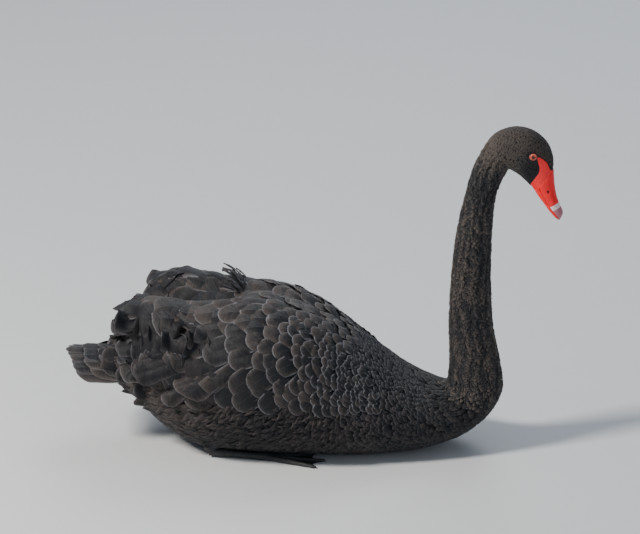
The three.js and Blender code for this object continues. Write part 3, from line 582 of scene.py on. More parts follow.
# ---------------------------------------------------------------- materials
class Value:
    """A shader socket on which sums can be written."""

    def __init__(self, shader, socket):
        self.shader, self.socket = shader, socket

    def math(self, operation, *others):
        """A Math node of this value and others."""
        sockets = dict(enumerate((self,) + others))
        return self.shader.node("ShaderNodeMath", {"operation": operation}, sockets)

    def __add__(self, other):
        return self.math("ADD", other)

    __radd__ = __add__

    def __sub__(self, other):
        return self.math("SUBTRACT", other)

    def __rsub__(self, other):
        return self.shader.node("ShaderNodeMath", {"operation": "SUBTRACT"}, {0: other, 1: self})

    def __mul__(self, other):
        return self.math("MULTIPLY", other)

    __rmul__ = __mul__

    def __truediv__(self, other):
        return self.math("DIVIDE", other)

    def between(self, low, high):
        """0 below low, 1 above high and smooth between."""
        settings = {"interpolation_type": "SMOOTHSTEP"}
        return self.shader.node("ShaderNodeMapRange", settings, {0: self, 1: low, 2: high})


class Shader:
    """A material whose nodes come from expressions."""

    def __init__(self, name):
        self.material = bpy.data.materials.new(name)
        self.material.use_nodes = True
        self.tree = self.material.node_tree
        self.tree.nodes.clear()
        self.output = self.tree.nodes.new("ShaderNodeOutputMaterial")

    def node(self, kind, settings=None, sockets=None, result=0):
        """A node of a kind with its settings, and the values or links of its sockets."""
        made = self.tree.nodes.new(kind)
        for key, value in (settings or {}).items():
            setattr(made, key, value)
        for key, value in (sockets or {}).items():
            if isinstance(value, Value):
                self.tree.links.new(value.socket, made.inputs[key])
            elif value is not None:
                made.inputs[key].default_value = value
        return Value(self, made.outputs[result])

    def attribute(self, name, part="Fac"):
        """A value that the mesh carries on its points."""
        return self.node("ShaderNodeAttribute", {"attribute_name": name}, result=part)

    def split(self, vector):
        """The three parts of a vector."""
        made = self.node("ShaderNodeSeparateXYZ", None, {0: vector})
        return [Value(self, made.socket.node.outputs[i]) for i in range(3)]

    def place(self):
        """The point in the model's own frame, in metres."""
        return self.node("ShaderNodeTexCoord", None, None, "Object")

    def noise(self, scale, detail=3.0, stretch=(1, 1, 1)):
        """Noise between 0 and 1 of a scale per metre, stretched along the axes."""
        spot = self.node("ShaderNodeMapping", None, {"Vector": self.place(), "Scale": stretch})
        return self.node("ShaderNodeTexNoise", None,
                         {"Vector": spot, "Scale": scale, "Detail": detail, "Roughness": 0.55})

    def barb_noise(self, barb, own, across, detail):
        """Noise that runs along the barbs, of its own on each vane and on each side of its shaft."""
        spot = self.node("ShaderNodeCombineXYZ", None, {0: barb, 1: own, 2: across.math("SIGN")})
        return self.node("ShaderNodeTexNoise", None, {"Vector": spot, "Scale": 1.0, "Detail": detail})

    def blend(self, share, a, b):
        """Colour a where share is 0 and colour b where it is 1."""
        a = (*a, 1) if isinstance(a, tuple) else a
        b = (*b, 1) if isinstance(b, tuple) else b
        settings = {"data_type": "RGBA"}
        return self.node("ShaderNodeMix", settings, {"Factor": share, 6: a, 7: b}, 2)

    def close(self, colour, roughness, bump=None, strength=0.3, distance=0.001, **constants):
        """Ends the material: colour, roughness and a bump height, with fixed values by name."""
        colour = (*colour, 1) if isinstance(colour, tuple) else colour
        sockets = {"Base Color": colour, "Roughness": roughness}
        if bump is not None:
            sockets["Normal"] = self.node("ShaderNodeBump", None,
                                          {"Strength": strength, "Distance": distance, "Height": bump})
        sockets.update({key.replace("_", " "): value for key, value in constants.items()})
        surface = self.node("ShaderNodeBsdfPrincipled", None, sockets)
        self.tree.links.new(surface.socket, self.output.inputs["Surface"])
        return self.material


def plumage(name, dark, light, pale, gloss=0.5):
    """Feathers: dark at the root, as painted shade under the feather above, and lighter to the tip, a
    thin pale rim where the tone is set, barbs that slant from the shaft with splits between some,
    painted dark as shade, and slow patches of brown and blue-black, whose blue is painted sky light in
    shade."""
    s = Shader(name)
    along, across, chance = s.split(s.attribute("vane", "Vector"))
    length, half, tone = s.split(s.attribute("form", "Vector"))
    edge = across.math("ABSOLUTE")
    patch = s.noise(11.0, 3.0)
    fine = s.noise(420.0, 2.0)
    gap = ((1 - edge) * half).math("MINIMUM", (1 - along) * length)
    border = (1 - gap.between(0.5, 8.0)) * half.between(4.0, 12.0)
    rim = (1 - gap.between(0.3, 2.6)) * tone * (1.9 * fine - 0.15)
    barb = along * length - edge * half * 0.8
    split = s.barb_noise(barb * 0.21, chance * 37.0, across, 3.0)
    streak = s.barb_noise(barb * 0.75, chance * 53.0, across, 4.0) - 0.5
    open_barbs = split.between(0.56, 0.66) * edge.between(0.15, 0.6)
    stripes = (barb * 4.2 + fine * 1.5).math("SINE")
    shaft = 1 - (edge * half).between(0.2, 0.7)
    # Darker towards the root: painted shade where the feather above lies over it.
    tip = along.between(0.45, 1.0)
    tone_with_painted_root_shade = tip * 0.4 + chance * 0.5 + patch * 0.8 + border * 0.5 + streak * 1.3 - 0.68
    warm = tuple(c * k for c, k in zip(light, (1.12, 0.98, 0.86)))
    colour = s.blend(tone_with_painted_root_shade.between(0.0, 1.0), dark,
                     s.blend((patch + chance * 0.3).between(0.55, 0.75), light, warm))
    # Darker in the splits between barbs as painted shade, and along the fine barb stripes.
    colour = s.blend((open_barbs * 0.55).math("MAXIMUM", stripes * 0.12), colour, dark)
    colour = s.blend((shaft * 0.05 * tone).math("MAXIMUM", rim).math("MINIMUM", 1.0), colour, pale)
    height = stripes * 0.4 + streak * 3.0 + shaft * 1.2 - open_barbs * 1.5
    return s.close(colour, gloss + 0.16 * fine + rim * 0.1, height, 0.5, 0.0006,
                   Specular_IOR_Level=0.24, Sheen_Weight=0.06, Sheen_Roughness=0.5)


def horn(name, colour, deep, scale=160.0, rough=0.3, hole=None):
    """Waxy horn: a base colour with deeper, slow streaks and a fine uneven surface, with painted shade,
    near black, in an oval about the side-view point hole, inside the nostril."""
    s = Shader(name)
    streak = s.noise(scale, 4.0, (1, 1, 0.35))
    fine = s.noise(1400.0, 3.0)
    colour = s.blend(streak.between(0.4, 0.75), colour, deep)
    if hole is not None:
        x, _, z = s.split(s.place())
        dx, dz = (x - hole[0] * MM) / MM, (z - hole[2] * MM) / MM
        across = (dx * NOSTRIL_LEAN[0] + dz * NOSTRIL_LEAN[1]) / NOSTRIL_SIZE[0]
        along = (dz * NOSTRIL_LEAN[0] - dx * NOSTRIL_LEAN[1]) / NOSTRIL_SIZE[1]
        reach = (across * across + along * along).math("SQRT")
        # Painted shade inside the nostril: near black in an oval about its opening.
        colour = s.blend(1 - reach.between(0.55, 1.0), colour, (0.02, 0.002, 0.003))
    return s.close(colour, rough + 0.18 * fine, fine + streak * 2, 0.12, 0.0006,
                   Specular_IOR_Level=0.4)


def skin_material(colours):
    """Skin under the coat: near black, and red and finely wrinkled on the bare lore."""
    s = Shader("swan_skin")
    bare = s.attribute("lore")
    wobble = s.noise(500.0, 3.0)
    mask = (bare + (wobble - 0.5) * 1.6).between(-0.5, 0.5)
    deep = s.noise(260.0, 3.0)
    red = s.blend(deep.between(0.45, 0.85), tuple(colours.lore), tuple(c * 0.7 for c in colours.lore))
    colour = s.blend(mask, s.blend(wobble, (0.006, 0.006, 0.008), (0.016, 0.015, 0.017)), red)
    return s.close(colour, 0.75 - 0.3 * mask, wobble * 0.6 + deep, 0.3, 0.0008)


def foot_material(colours):
    """Foot skin: leathery near black with rows of small scales, darker in the grooves between them as
    painted shade.
    """
    s = Shader("swan_foot_skin")
    spot = s.node("ShaderNodeMapping", None, {"Vector": s.place(), "Scale": (1, 1.3, 1)})
    cells = s.node("ShaderNodeTexVoronoi", {"feature": "DISTANCE_TO_EDGE"},
                   {"Vector": spot, "Scale": 330.0})
    scale = cells.between(0.02, 0.16)
    patch = s.noise(40.0, 3.0)
    base = tuple(colours.foot)
    colour = s.blend(patch.between(0.3, 0.8), base, tuple(1.7 * c for c in base))
    # Painted shade in the grooves between the scales.
    colour = s.blend(scale, tuple(0.45 * c for c in base), colour)
    return s.close(colour, 0.5 + 0.2 * patch, scale, 0.6, 0.0008)


def iris_material(centre, colours):
    """Eye: distance from the eye's axis parts the dark pupil, the red iris with a paler outer ring
    and the dark white of the eye."""
    s = Shader("swan_eye_" + ("left" if centre[1] > 0 else "right"))
    x, _, z = s.split(s.place())
    dx, dz = (x - centre[0] * MM) / MM, (z - centre[2] * MM) / MM
    reach = (dx * dx + dz * dz).math("SQRT")
    fibres = s.noise(900.0, 3.0)
    red = s.blend(fibres, tuple(colours.iris), tuple(0.45 * c for c in colours.iris))
    ring = reach.between(3.7, 4.3) * (1 - reach.between(4.6, 5.0))
    colour = s.blend(ring * 0.8, red, (0.62, 0.22, 0.13))
    colour = s.blend(reach.between(4.6, 5.1), colour, (0.05, 0.01, 0.01))
    colour = s.blend(1 - reach.between(2.25, 2.55), colour, (0.004, 0.003, 0.003))
    return s.close(colour, 0.1, Coat_Weight=0.4, Coat_Roughness=0.02, Specular_IOR_Level=0.3)


# ---------------------------------------------------------------- settings
class SwanColours(bpy.types.PropertyGroup):
    """Colours of the swan's finishes."""

    def colour(label, text, value):
        return FloatVectorProperty(name=label, description=text, default=value, subtype="COLOR",
                                   size=3, min=0, max=1)

    # The feathers' own near black, which the finish also uses as painted shade at the roots and in the
    # splits; its blue tint is painted sky light in shade.
    dark: colour("Feather root", "Darkest part of the body feathers", (0.0036, 0.0039, 0.0062))
    brown: colour("Feather tip", "Lighter end of the body feathers", (0.042, 0.0375, 0.0385))
    rim: colour("Feather rim", "Pale rim of wing coverts", (0.165, 0.165, 0.185))
    # Near black of neck and head feathers, which also stands for painted shade in the neck's furrows.
    neck_dark: colour("Neck furrow", "Darkest part of neck and head", (0.0060, 0.0060, 0.0078))
    neck: colour("Neck feather tip", "Lighter end of neck and head feathers", (0.120, 0.106, 0.096))
    bill: colour("Bill", "Red horn of the bill", (0.92, 0.006, 0.010))
    lore: colour("Lore", "Bare skin before the eye", (0.90, 0.008, 0.010))
    band: colour("Band", "White bar across the bill", (0.80, 0.66, 0.66))
    nail: colour("Nail", "Tip of the bill", (0.42, 0.15, 0.18))
    iris: colour("Iris", "Red of the eye", (0.62, 0.050, 0.025))
    foot: colour("Foot", "Skin of feet and webs", (0.020, 0.020, 0.023))
    floor: colour("Floor", "Plain floor", (0.60, 0.61, 0.62))
    del colour


class SwanSizes(bpy.types.PropertyGroup):
    """Sizes that a user would change."""

    eye_radius: FloatProperty(name="Eye radius", description="Radius of each eyeball", default=0.0062,
                              unit="LENGTH")
    breast_feather: FloatProperty(name="Breast feather", description="Length of a breast feather",
                                  default=0.019, unit="LENGTH")
    neck_feather: FloatProperty(name="Neck feather", description="Length of a neck feather",
                                default=0.0105, unit="LENGTH")
    head_feather: FloatProperty(name="Head feather", description="Length of a head feather",
                                default=0.0062, unit="LENGTH")
    covert: FloatProperty(name="Largest covert", description="Width of the largest wing covert",
                          default=0.046, unit="LENGTH")
    view_distance: FloatProperty(name="Camera distance", description="From the camera to the swan",
                                 default=12.0, unit="LENGTH")


def coat_material(part, colours):
    """The plumage of body, neck (browner at its tips, also for the head), wing (also for the tail)
    or flight feathers, made on first use."""
    name = part + "_plumage"
    if name in bpy.data.materials:
        return bpy.data.materials[name]
    pale = (0.8, 0.8, 0.78) if part == "flight" else tuple(colours.rim)
    return plumage(name, *{
        "body": (tuple(colours.dark), tuple(colours.brown), pale, 0.6),
        "neck": (tuple(colours.neck_dark), tuple(colours.neck), pale, 0.62),
        "wing": (tuple(colours.dark), tuple(colours.brown), pale, 0.46),
        "flight": ((0.45, 0.43, 0.40), (0.72, 0.70, 0.66), pale, 0.5)}[part])


class SwanOperator(bpy.types.Operator):
    """Shared ways of the swan's operators."""
    bl_options = {"REGISTER", "UNDO"}

    @property
    def colours(self):
        return bpy.context.scene.swan_colours

    @property
    def sizes(self):
        return bpy.context.scene.swan_sizes


# ---------------------------------------------------------------- pieces
class SWAN_OT_skin(SwanOperator):
    """Skin of torso, neck and head in one surface, which lies under the coat"""
    bl_idname = "swan.skin"
    bl_label = "Skin"

    def execute(self, context):
        t = np.concatenate([np.linspace(0.15, 18.5, 150), np.linspace(18.55, 24.12, 130)])
        phi = (np.arange(128) + 0.5) / 128 * 2 * math.pi
        tt, pp = np.meshgrid(t, phi, indexing="ij")
        plain = body(tt, pp) / MM
        bare = lore_depth(plain[..., 0], plain[..., 2])
        depth = np.where(tt > HEAD, mix(coat_depth(tt), 0.25, smooth(bare, -1.5, 1.0)), coat_depth(tt))
        rings = body(tt, pp, -depth)
        rings[..., 2] = np.maximum(rings[..., 2], 0.0008)
        points, quads, tris = capped_tube(rings)
        lore = np.concatenate([bare.ravel(), [-9, 9]])
        piece = solid_piece("skin", points, quads, tris, {"lore": lore})
        finish(piece, skin_material(self.colours), "plumage",
               "torso", "neck_low", "neck_middle", "neck_top", "head")
        return {"FINISHED"}


class SWAN_OT_coat(SwanOperator):
    """Small feathers of breast, back, belly, neck and head"""
    bl_idname = "swan.coat"
    bl_label = "Coat"

    def length_at(self, t):
        """Feather length in millimetres at a station: longest at the rump, shortest on the head."""
        breast, neck, head = (v / MM for v in (self.sizes.breast_feather, self.sizes.neck_feather,
                                               self.sizes.head_feather))
        full = mix(1.6 * breast, breast, smooth(t, 2.0, 6.5))
        full = mix(full, neck, smooth(t, 8.4, 10.4))
        return mix(full, head, smooth(t, 16.8, 19.6))

    def execute(self, context):
        material = coat_material("body", self.colours)
        for k, (name, front, rear, rows) in enumerate(COAT_STRETCHES):
            piece = self.stretch(name, front, rear, rows, k)
            finish(piece, coat_material("neck", self.colours) if rear > 9 else material, "plumage")
        self.flank(material)
        return {"FINISHED"}

    def stretch(self, name, front, rear, rows, k):
        """Small feathers between two stations, left out where wings, eyes and bare skin are. Up the
        neck they stand in clumps that leave furrows along it, lighter on the ridges and darker in the
        furrows as painted light and shade."""
        t, phi = ring_roots(front, rear, lambda t: 0.35 * self.length_at(t),
                            lambda t: 0.36 * self.length_at(t), 100 + k)
        turn = np.abs(phi)
        keep = ~((t < 5.6) & (t > 1.9) & (turn > 0.3) & (turn < 1.3))
        if rear >= 15:
            spot = body(t, phi) / MM
            eye = np.minimum(*(np.linalg.norm(spot - eye_centre(s), axis=1) for s in (-1, 1)))
            keep &= (lore_depth(spot[:, 0], spot[:, 2]) < -0.4) & (eye > 7.1)
        t, phi, turn = t[keep], phi[keep], turn[keep]
        rng = np.random.default_rng(200 + k)
        size = self.length_at(t) * rng.uniform(0.82, 1.18, len(t))
        depth = coat_depth(t)
        neck = neck_share(t)
        ridge_painted_light = furrow(t - 0.4 * size / np.maximum(body_frame(t, phi)[2] / MM, 12), phi)
        upper = smooth(t, 9, 11)
        high = mix(-0.12 * depth, -0.18, upper) + rng.normal(0, 0.22, len(t)) * neck
        high = high - 0.5 * smooth(turn, 2.4, 3.0) * (t < 9)
        tone = smooth(t, 3.0, 5.0) * (1 - 0.6 * smooth(t, 6.2, 7.6)) * (1 - smooth(t, 8.2, 9.4))
        tone = 0.75 * tone * (1 - 0.8 * smooth(turn, 0.9, 1.7)) + 0.06
        top = smooth(t, 17.2, 18.6)
        light = rng.uniform(0, 1, len(t)) * mix(mix(1, 0.5, upper), 0.2, top)
        light = light - 0.3 * smooth(t, 6.0, 7.0) * (1 - smooth(t, 8.6, 9.6))
        # Painted light and shade: lighter on the ridges of the neck's furrows, darker in the furrows.
        light = light + neck * (0.24 + 0.55 * ridge_painted_light) + 0.1 * top
        cheek = np.exp(-((t - 19.0) / 1.7) ** 2) * smooth(turn, 0.7, 1.5)
        face = smooth(t, 20.5, 22.5) * smooth(turn, 1.0, 1.6)
        light = light + top * (0.68 - 0.5 * face + 0.5 * cheek)
        lean = 0.12 * np.sin(turn) + 0.10 * neck * np.cos(phi * 9 + 2.4 * np.sin(t * 2.9))
        return lay_vanes(name, coat_frame, t, phi, size, size * mix(0.66, 0.5, neck),
                         lean + rng.normal(0, 0.10 + 0.05 * neck, len(t)),
                         (mix(-0.9 * depth, -2.2, upper), high), 300 + k,
                         rows, taper=0.3, oval=1.2, cup=mix(0.07 * size, 0.4, upper),
                         thick=0.03 * size, tone=tone, light=np.clip(light, 0, 1))

    def flank(self, material):
        """Larger, softer feathers low on the flank, round the rump and under the tail."""
        rng = np.random.default_rng(61)
        columns = 46
        tt, pp = np.meshgrid(np.linspace(1.1, 5.7, columns), np.linspace(0.0, 1.0, 19), indexing="ij")
        pp = mix(flank_line(tt) - 0.02, 2.1, pp) + 0.025 * (np.arange(columns) % 2)[:, None]
        t = np.concatenate([tt.ravel(), tt.ravel()])
        phi = np.concatenate([pp.ravel(), pp.ravel()]) + rng.uniform(-0.04, 0.04, len(t))
        t = t + rng.uniform(-0.07, 0.07, len(t))
        side = np.repeat([-1.0, 1.0], tt.size)
        fore = smooth(t, 2.0, 5.4)
        clump = np.sin(t * 7.1 + 2.2 * np.sin(phi * 8.3)) * np.sin(phi * 11.7 + 1.6 * np.sin(t * 5.3))
        lean = mix(0.3, 0.75, fore) - 0.35 * smooth(phi, 1.6, 2.0) + 0.3 * clump
        high = mix(4.6, 1.6, fore) * (1 - 0.6 * smooth(phi, 1.6, 2.0)) * (0.8 + 0.35 * clump)
        piece = lay_vanes("coat_flank", wing_frame, t, side * phi, mix(38, 24, fore), mix(12, 8, fore),
                          lean + rng.normal(0, 0.28, len(t)), (-6, high + rng.normal(0, 0.7, len(t))),
                          62, 7, 5, taper=0.8, oval=1.3, cup=0.9, wave=0.6, droop=0.6, thick=0.4,
                          tone=0.05, light=rng.uniform(0.5, 1.2, len(t)) + 0.2 * clump
                          + 0.35 * (1 - smooth(t, 2.4, 4.0)))
        finish(piece, material, "plumage")
        self.rump(material, rng)

    @staticmethod
    def rump(material, rng):
        """Loose feathers in rings round the rump, none at the sides beside the tail's root. The
        upper ones sink on to the tail."""
        rings = [(1.75, 0.0, 13), (1.3, 0.13, 13), (0.9, 0.0, 12), (0.5, 0.14, 11), (0.12, 0.0, 10)]
        t = np.concatenate([np.full(n, t) for t, _, n in rings])
        phi = np.concatenate([np.linspace(-2.5, 2.5, n) + odd for _, odd, n in rings])
        clear = (t > 0.7) | (np.abs(phi) < 1.0) | (np.abs(phi) > 2.0)
        t = t[clear] + rng.uniform(-0.08, 0.08, clear.sum())
        phi = phi[clear] + rng.uniform(-0.06, 0.06, len(t))
        turn = np.abs(phi)
        under, over = smooth(turn, 1.4, 2.4), 1 - smooth(turn, 0.6, 1.3)
        here, out, _, _ = body_frame(t, phi)
        ahead = unit(body(t - 0.3, phi) - body(t + 0.02, phi))
        level = (1 - 0.85 * under)[:, None]
        way = unit(ahead * 0.55 + np.array([-0.6, 0, -0.05]) * level + rng.normal(0, 0.05, (len(t), 3)))
        outs = unit(out - way * (out * way).sum(-1, keepdims=True))
        length = mix(46, 56, smooth(t, 0.9, 0.1)) * rng.uniform(0.88, 1.12, len(t))
        rise = rng.uniform(0.12, 0.34, len(t)) - 0.24 * (1 - smooth(turn, 0.5, 1.1))
        curl = rng.uniform(0.3, 0.7, len(t)) * mix(1, 0.1, smooth(turn, 0.7, 1.2))
        length = length * mix(1, 0.75, under)
        piece = loose_vanes("rump_feathers", here - out * 0.006, way, outs, length,
                            mix(30, 24, under), rise, curl, 63, 10, 9,
                            cup=4.0, sway=rng.uniform(-4, 4, len(t)), wave=1.3, thick=0.6,
                            sag=2 + 15 * over * (1 - smooth(t, 0.6, 1.6)),
                            tone=rng.uniform(0.15, 0.5, len(t)),
                            root_map=np.stack([t / TIP, phi / (2 * math.pi) + 0.5], -1))
        finish(piece, material, "plumage")


class SWAN_OT_wings(SwanOperator):
    """Folded wings: a pad, dark with the painted shade of feather roots, coverts, scapulars, ruffle and
    white flight feathers
    """
    bl_idname = "swan.wings"
    bl_label = "Wings"

    def pad(self, side, word):
        """The wing's inner form: its surface sunk by a little, and at its border to the body's own,
        closed under the coat."""
        t = np.linspace(WING_FRONT - 0.15, WING_REAR, 60)
        share = np.linspace(0, 1, 40)
        along = (WING_FRONT - t) / (WING_FRONT - WING_REAR)
        reach = mix(0.3, 0.96, np.sqrt(np.clip(along / 0.4, 0, 1)))
        reach = reach * mix(1, 0.8, smooth(along, 0.8, 1))
        across = 0.4 + (share[None] - 0.4) * reach[:, None]
        phi = side * mix(WING_TOP, WING_LOW, across)
        tt = np.broadcast_to(t[:, None], phi.shape)
        place, out, _, _ = wing_frame(tt, phi)
        inside = body(tt, phi) - out * 0.004
        border = smooth(np.minimum(share, 1 - share), 0, 0.16)
        dome = np.minimum(smooth(along, 0, 0.1)[:, None], border)
        top = place - out * (mix(wing_height(tt, phi) + 1.0, 2.2, dome) * MM)[..., None]
        points = np.concatenate([top.reshape(-1, 3), inside[1:-1, 1:-1].reshape(-1, 3)])
        faces, _, _ = lens_faces(*phi.shape)
        # Root values of the plumage finish, so the pad takes the painted shade of feather roots where
        # it shows between the coverts.
        return solid_piece("wing_pad_" + word, points, faces, points_data={
            "vane": np.tile([0.2, 0.5, 0.3], (len(points), 1)),
            "form": np.tile([80.0, 20.0, 0.0], (len(points), 1))})

    def covert_roots(self, seed):
        """Roots, sizes and turns of the coverts: rows from the rear forwards, whose width falls
        from the largest covert's at station 3.2 to a third of it at the front, and whose feathers
        turn down more towards the front and the lower edge."""
        rng = np.random.default_rng(seed)
        t, rows = 3.0, []
        while t < 6.4:
            fore = smooth(t, 3.4, 6.3)
            width = self.sizes.covert / MM * mix(1.0, 0.27, fore ** 0.75)
            low = flank_line(t)
            top = mix(0.42, 0.62, smooth(t, 5.6, 6.4))
            count = int((low - top) * 140 / (0.60 * width)) + 1
            phi = np.linspace(top, low, count) + rng.uniform(-0.3, 0.3, count) * (low - top) / count
            drop = (phi - top) / (low - top)
            turn = mix(0.08, 0.45, fore) + drop * mix(0.5, 0.7, fore) + rng.normal(0, 0.09, count)
            station = t + rng.uniform(-0.07, 0.07, count) + 0.16 * drop
            rows.append(np.stack([station, phi, width * rng.uniform(0.88, 1.1, count), turn,
                                  np.full(count, fore)]))
            t += 0.5 * width / 75 * mix(1.0, 1.15, fore)
        return np.concatenate(rows, 1)

    def execute(self, context):
        material = coat_material("wing", self.colours)
        for (side, word), seed in zip(SIDES, (10, 40)):
            rng = np.random.default_rng(seed)
            finish(self.pad(side, word), material, "wing", "wing_" + word)
            t, phi, width, turn, fore = self.covert_roots(seed)
            count = len(t)
            length = width * mix(1.75, 1.6, fore) * rng.uniform(0.92, 1.08, count)
            high = mix(3.0, 1.0, fore) + rng.normal(0, 0.35, count) * mix(1, 0.5, fore)
            piece = lay_vanes("coverts_" + word, wing_frame, t, side * phi, length, width, turn,
                              (-4.5, high), seed + 1, 10, 9, cup=mix(3.4, 1.0, fore), oval=0.95,
                              shingle=-1.2, droop=1.0, wave=0.5, thick=0.7,
                              tone=mix(0.7, 1.0, fore) * rng.uniform(0.5, 1, count)
                              + 0.7 * np.exp(-((phi - 0.46) / 0.07) ** 2), cells=True)
            finish(piece, material, "wing")
            self.scapulars(side, word, seed, material)
            self.ruffle(side, word, seed, material)
            self.flight(side, word, seed)
        self.tuft(material)
        return {"FINISHED"}

    def scapulars(self, side, word, seed, material):
        """Long feathers in rows along the edge of the back."""
        rng = np.random.default_rng(seed + 5)
        tt, pp = np.meshgrid(np.linspace(2.9, 6.2, 13), np.linspace(0.02, 0.48, 5),
                             indexing="ij")
        t = (tt + rng.uniform(-0.12, 0.12, tt.shape)).ravel()
        phi = (pp + rng.uniform(-0.03, 0.03, pp.shape)).ravel()
        fore = smooth(t, 3.2, 6.1)
        piece = lay_vanes("scapulars_" + word, wing_frame, t, side * phi, mix(74, 30, fore),
                          mix(42, 17, fore), 0.02 + 0.35 * phi + rng.normal(0, 0.10, len(t)),
                          (-4.5, mix(4.6, 1.4, fore) + rng.normal(0, 0.9, len(t))), seed + 6, 10, 9,
                          cup=mix(2.4, 1.0, fore), shingle=-0.8, droop=0.8, wave=0.6, thick=0.7,
                          tone=rng.uniform(0.4, 1.0, len(t)), light=rng.uniform(0.75, 1.4, len(t)),
                          cells=True)
        finish(piece, material, "wing")

    def ruffle(self, side, word, seed, material):
        """Big feathers over the rear of the wing: a tier that lies on it, and tiers that stand off,
        roll over and droop, calmer low on the side. The left ones near the middle lean inwards and
        close the ruffle's inner face."""
        rng = np.random.default_rng(seed + 9)
        shift = RUFFLES[side][0] - RUFFLES[-1][0]
        phi = np.tile(np.linspace(0.1, 1.1, 6), 3) + rng.uniform(-0.05, 0.05, 18)
        t = np.repeat([2.75, 3.1, 3.4], 6) + 0.6 * shift + rng.uniform(-0.1, 0.1, 18)
        piece = lay_vanes("ruffle_base_" + word, wing_frame, t, side * phi, rng.uniform(66, 82, 18),
                          rng.uniform(42, 50, 18), 0.35 * phi - 0.1 + rng.normal(0, 0.12, 18),
                          (-6.0, rng.uniform(3, 8, 18)), seed + 10, 12, 9, cup=5.0, bend=0.2, wave=1.8,
                          droop=4.0, shingle=-1.6, thick=0.8, tone=rng.uniform(0.25, 0.8, 18),
                          cells=True)
        finish(piece, material, "wing")
        t, phi, length, width, rise, curl, start, clump = [np.concatenate(v) for v in zip(*(
            (*(np.full(n, v) for v in (t0,)), np.linspace(low, high, n),
             *(np.full(n, v) for v in sizes), np.sin(np.linspace(low, high, n) * 6.5 + 5 * t0))
            for t0, low, high, n, *sizes in RUFFLE_TIERS[side]))]
        count = len(t)

        def draw(low, high):
            return rng.uniform(low, high, count)

        t = t + draw(-0.09, 0.09)
        phi = phi + draw(-0.05, 0.05)
        calm = 1 - 0.8 * smooth(phi, 0.62, 0.95)
        curl = np.where(curl < 0, curl * calm, curl)
        turn = 0.32 * phi - 0.08 + rng.normal(0, 0.16, count)
        here, out, _, _ = wing_frame(t, side * phi)
        rear = unit(body(t - 0.02, side * phi) - body(t + 0.02, side * phi))
        if side > 0:
            out = unit(out - np.array([0, 1.4, 0]) * (1 - smooth(phi, 0.12, 0.40))[:, None])
        down = unit(np.cross(rear, out)) * side
        way = rear * np.cos(turn)[:, None] + down * np.sin(turn)[:, None]
        length, width = length * draw(0.85, 1.08), width * draw(0.85, 1.08)
        rise = rise * (1 - 0.12 * phi) + 0.12 * clump + rng.normal(0, 0.08, count)
        bend = curl + (0.2 * clump + rng.normal(0, 0.25, count)) * calm
        cup, sway = draw(5, 13), draw(-9, 9)
        twist = (0.45 * clump + draw(-0.35, 0.35)) * np.where(curl > 0, 1, 0.5)
        piece = loose_vanes("ruffle_" + word, here - out * 0.005, way, out, length, width,
                            rise * (0.5 + 0.5 * calm), bend, seed + 11, rows=24, start=start, cup=cup,
                            sway=sway, twist=twist, ripples=14.0, wave=draw(2.0, 4.5),
                            sag=draw(2, 8), tone=draw(0.15, 0.6))
        finish(piece, material, "wing")

    def flight(self, side, word, seed):
        """White flight feathers that show a little under the ruffle."""
        phi = np.array([0.98, 1.08, 1.18])
        t = np.array([2.1, 2.05, 2.0]) + RUFFLES[side][0] - RUFFLES[-1][0]
        piece = lay_vanes("flight_feathers_" + word, wing_frame, t, side * phi,
                          np.array([92, 86, 80.0]), 20.0, np.array([0.0, 0.03, 0.06]), (-5.0, -1.5),
                          seed + 14, 10, 7, cup=1.0, thick=0.7, cells=True)
        finish(piece, coat_material("flight", self.colours), "wing")

    def tuft(self, material):
        """Narrow feathers on the back's left edge, whose split ends curl up."""
        rng = np.random.default_rng(91)
        count = 18
        phi = 0.02 + 0.018 * np.arange(count) + rng.uniform(-0.01, 0.01, count)
        t = 3.58 + 0.09 * (np.arange(count) % 2) + rng.uniform(-0.04, 0.04, count)
        here, out, _, _ = wing_frame(t, phi)
        rear = unit(body(t - 0.02, phi) - body(t + 0.02, phi))
        outs = unit(out - rear * (out * rear).sum(-1, keepdims=True))
        piece = loose_vanes("back_tuft", here, rear, outs, rng.uniform(28, 44, count),
                            rng.uniform(8, 11, count), rng.uniform(1.1, 1.5, count),
                            rng.uniform(0.5, 1.4, count), 92, 14, 7, taper=0.85, oval=1.0, cup=1.5,
                            sway=rng.uniform(-6, 6, count), wave=0.8, ripples=12.0, thick=0.5,
                            tone=0.3)
        finish(piece, material, "wing")


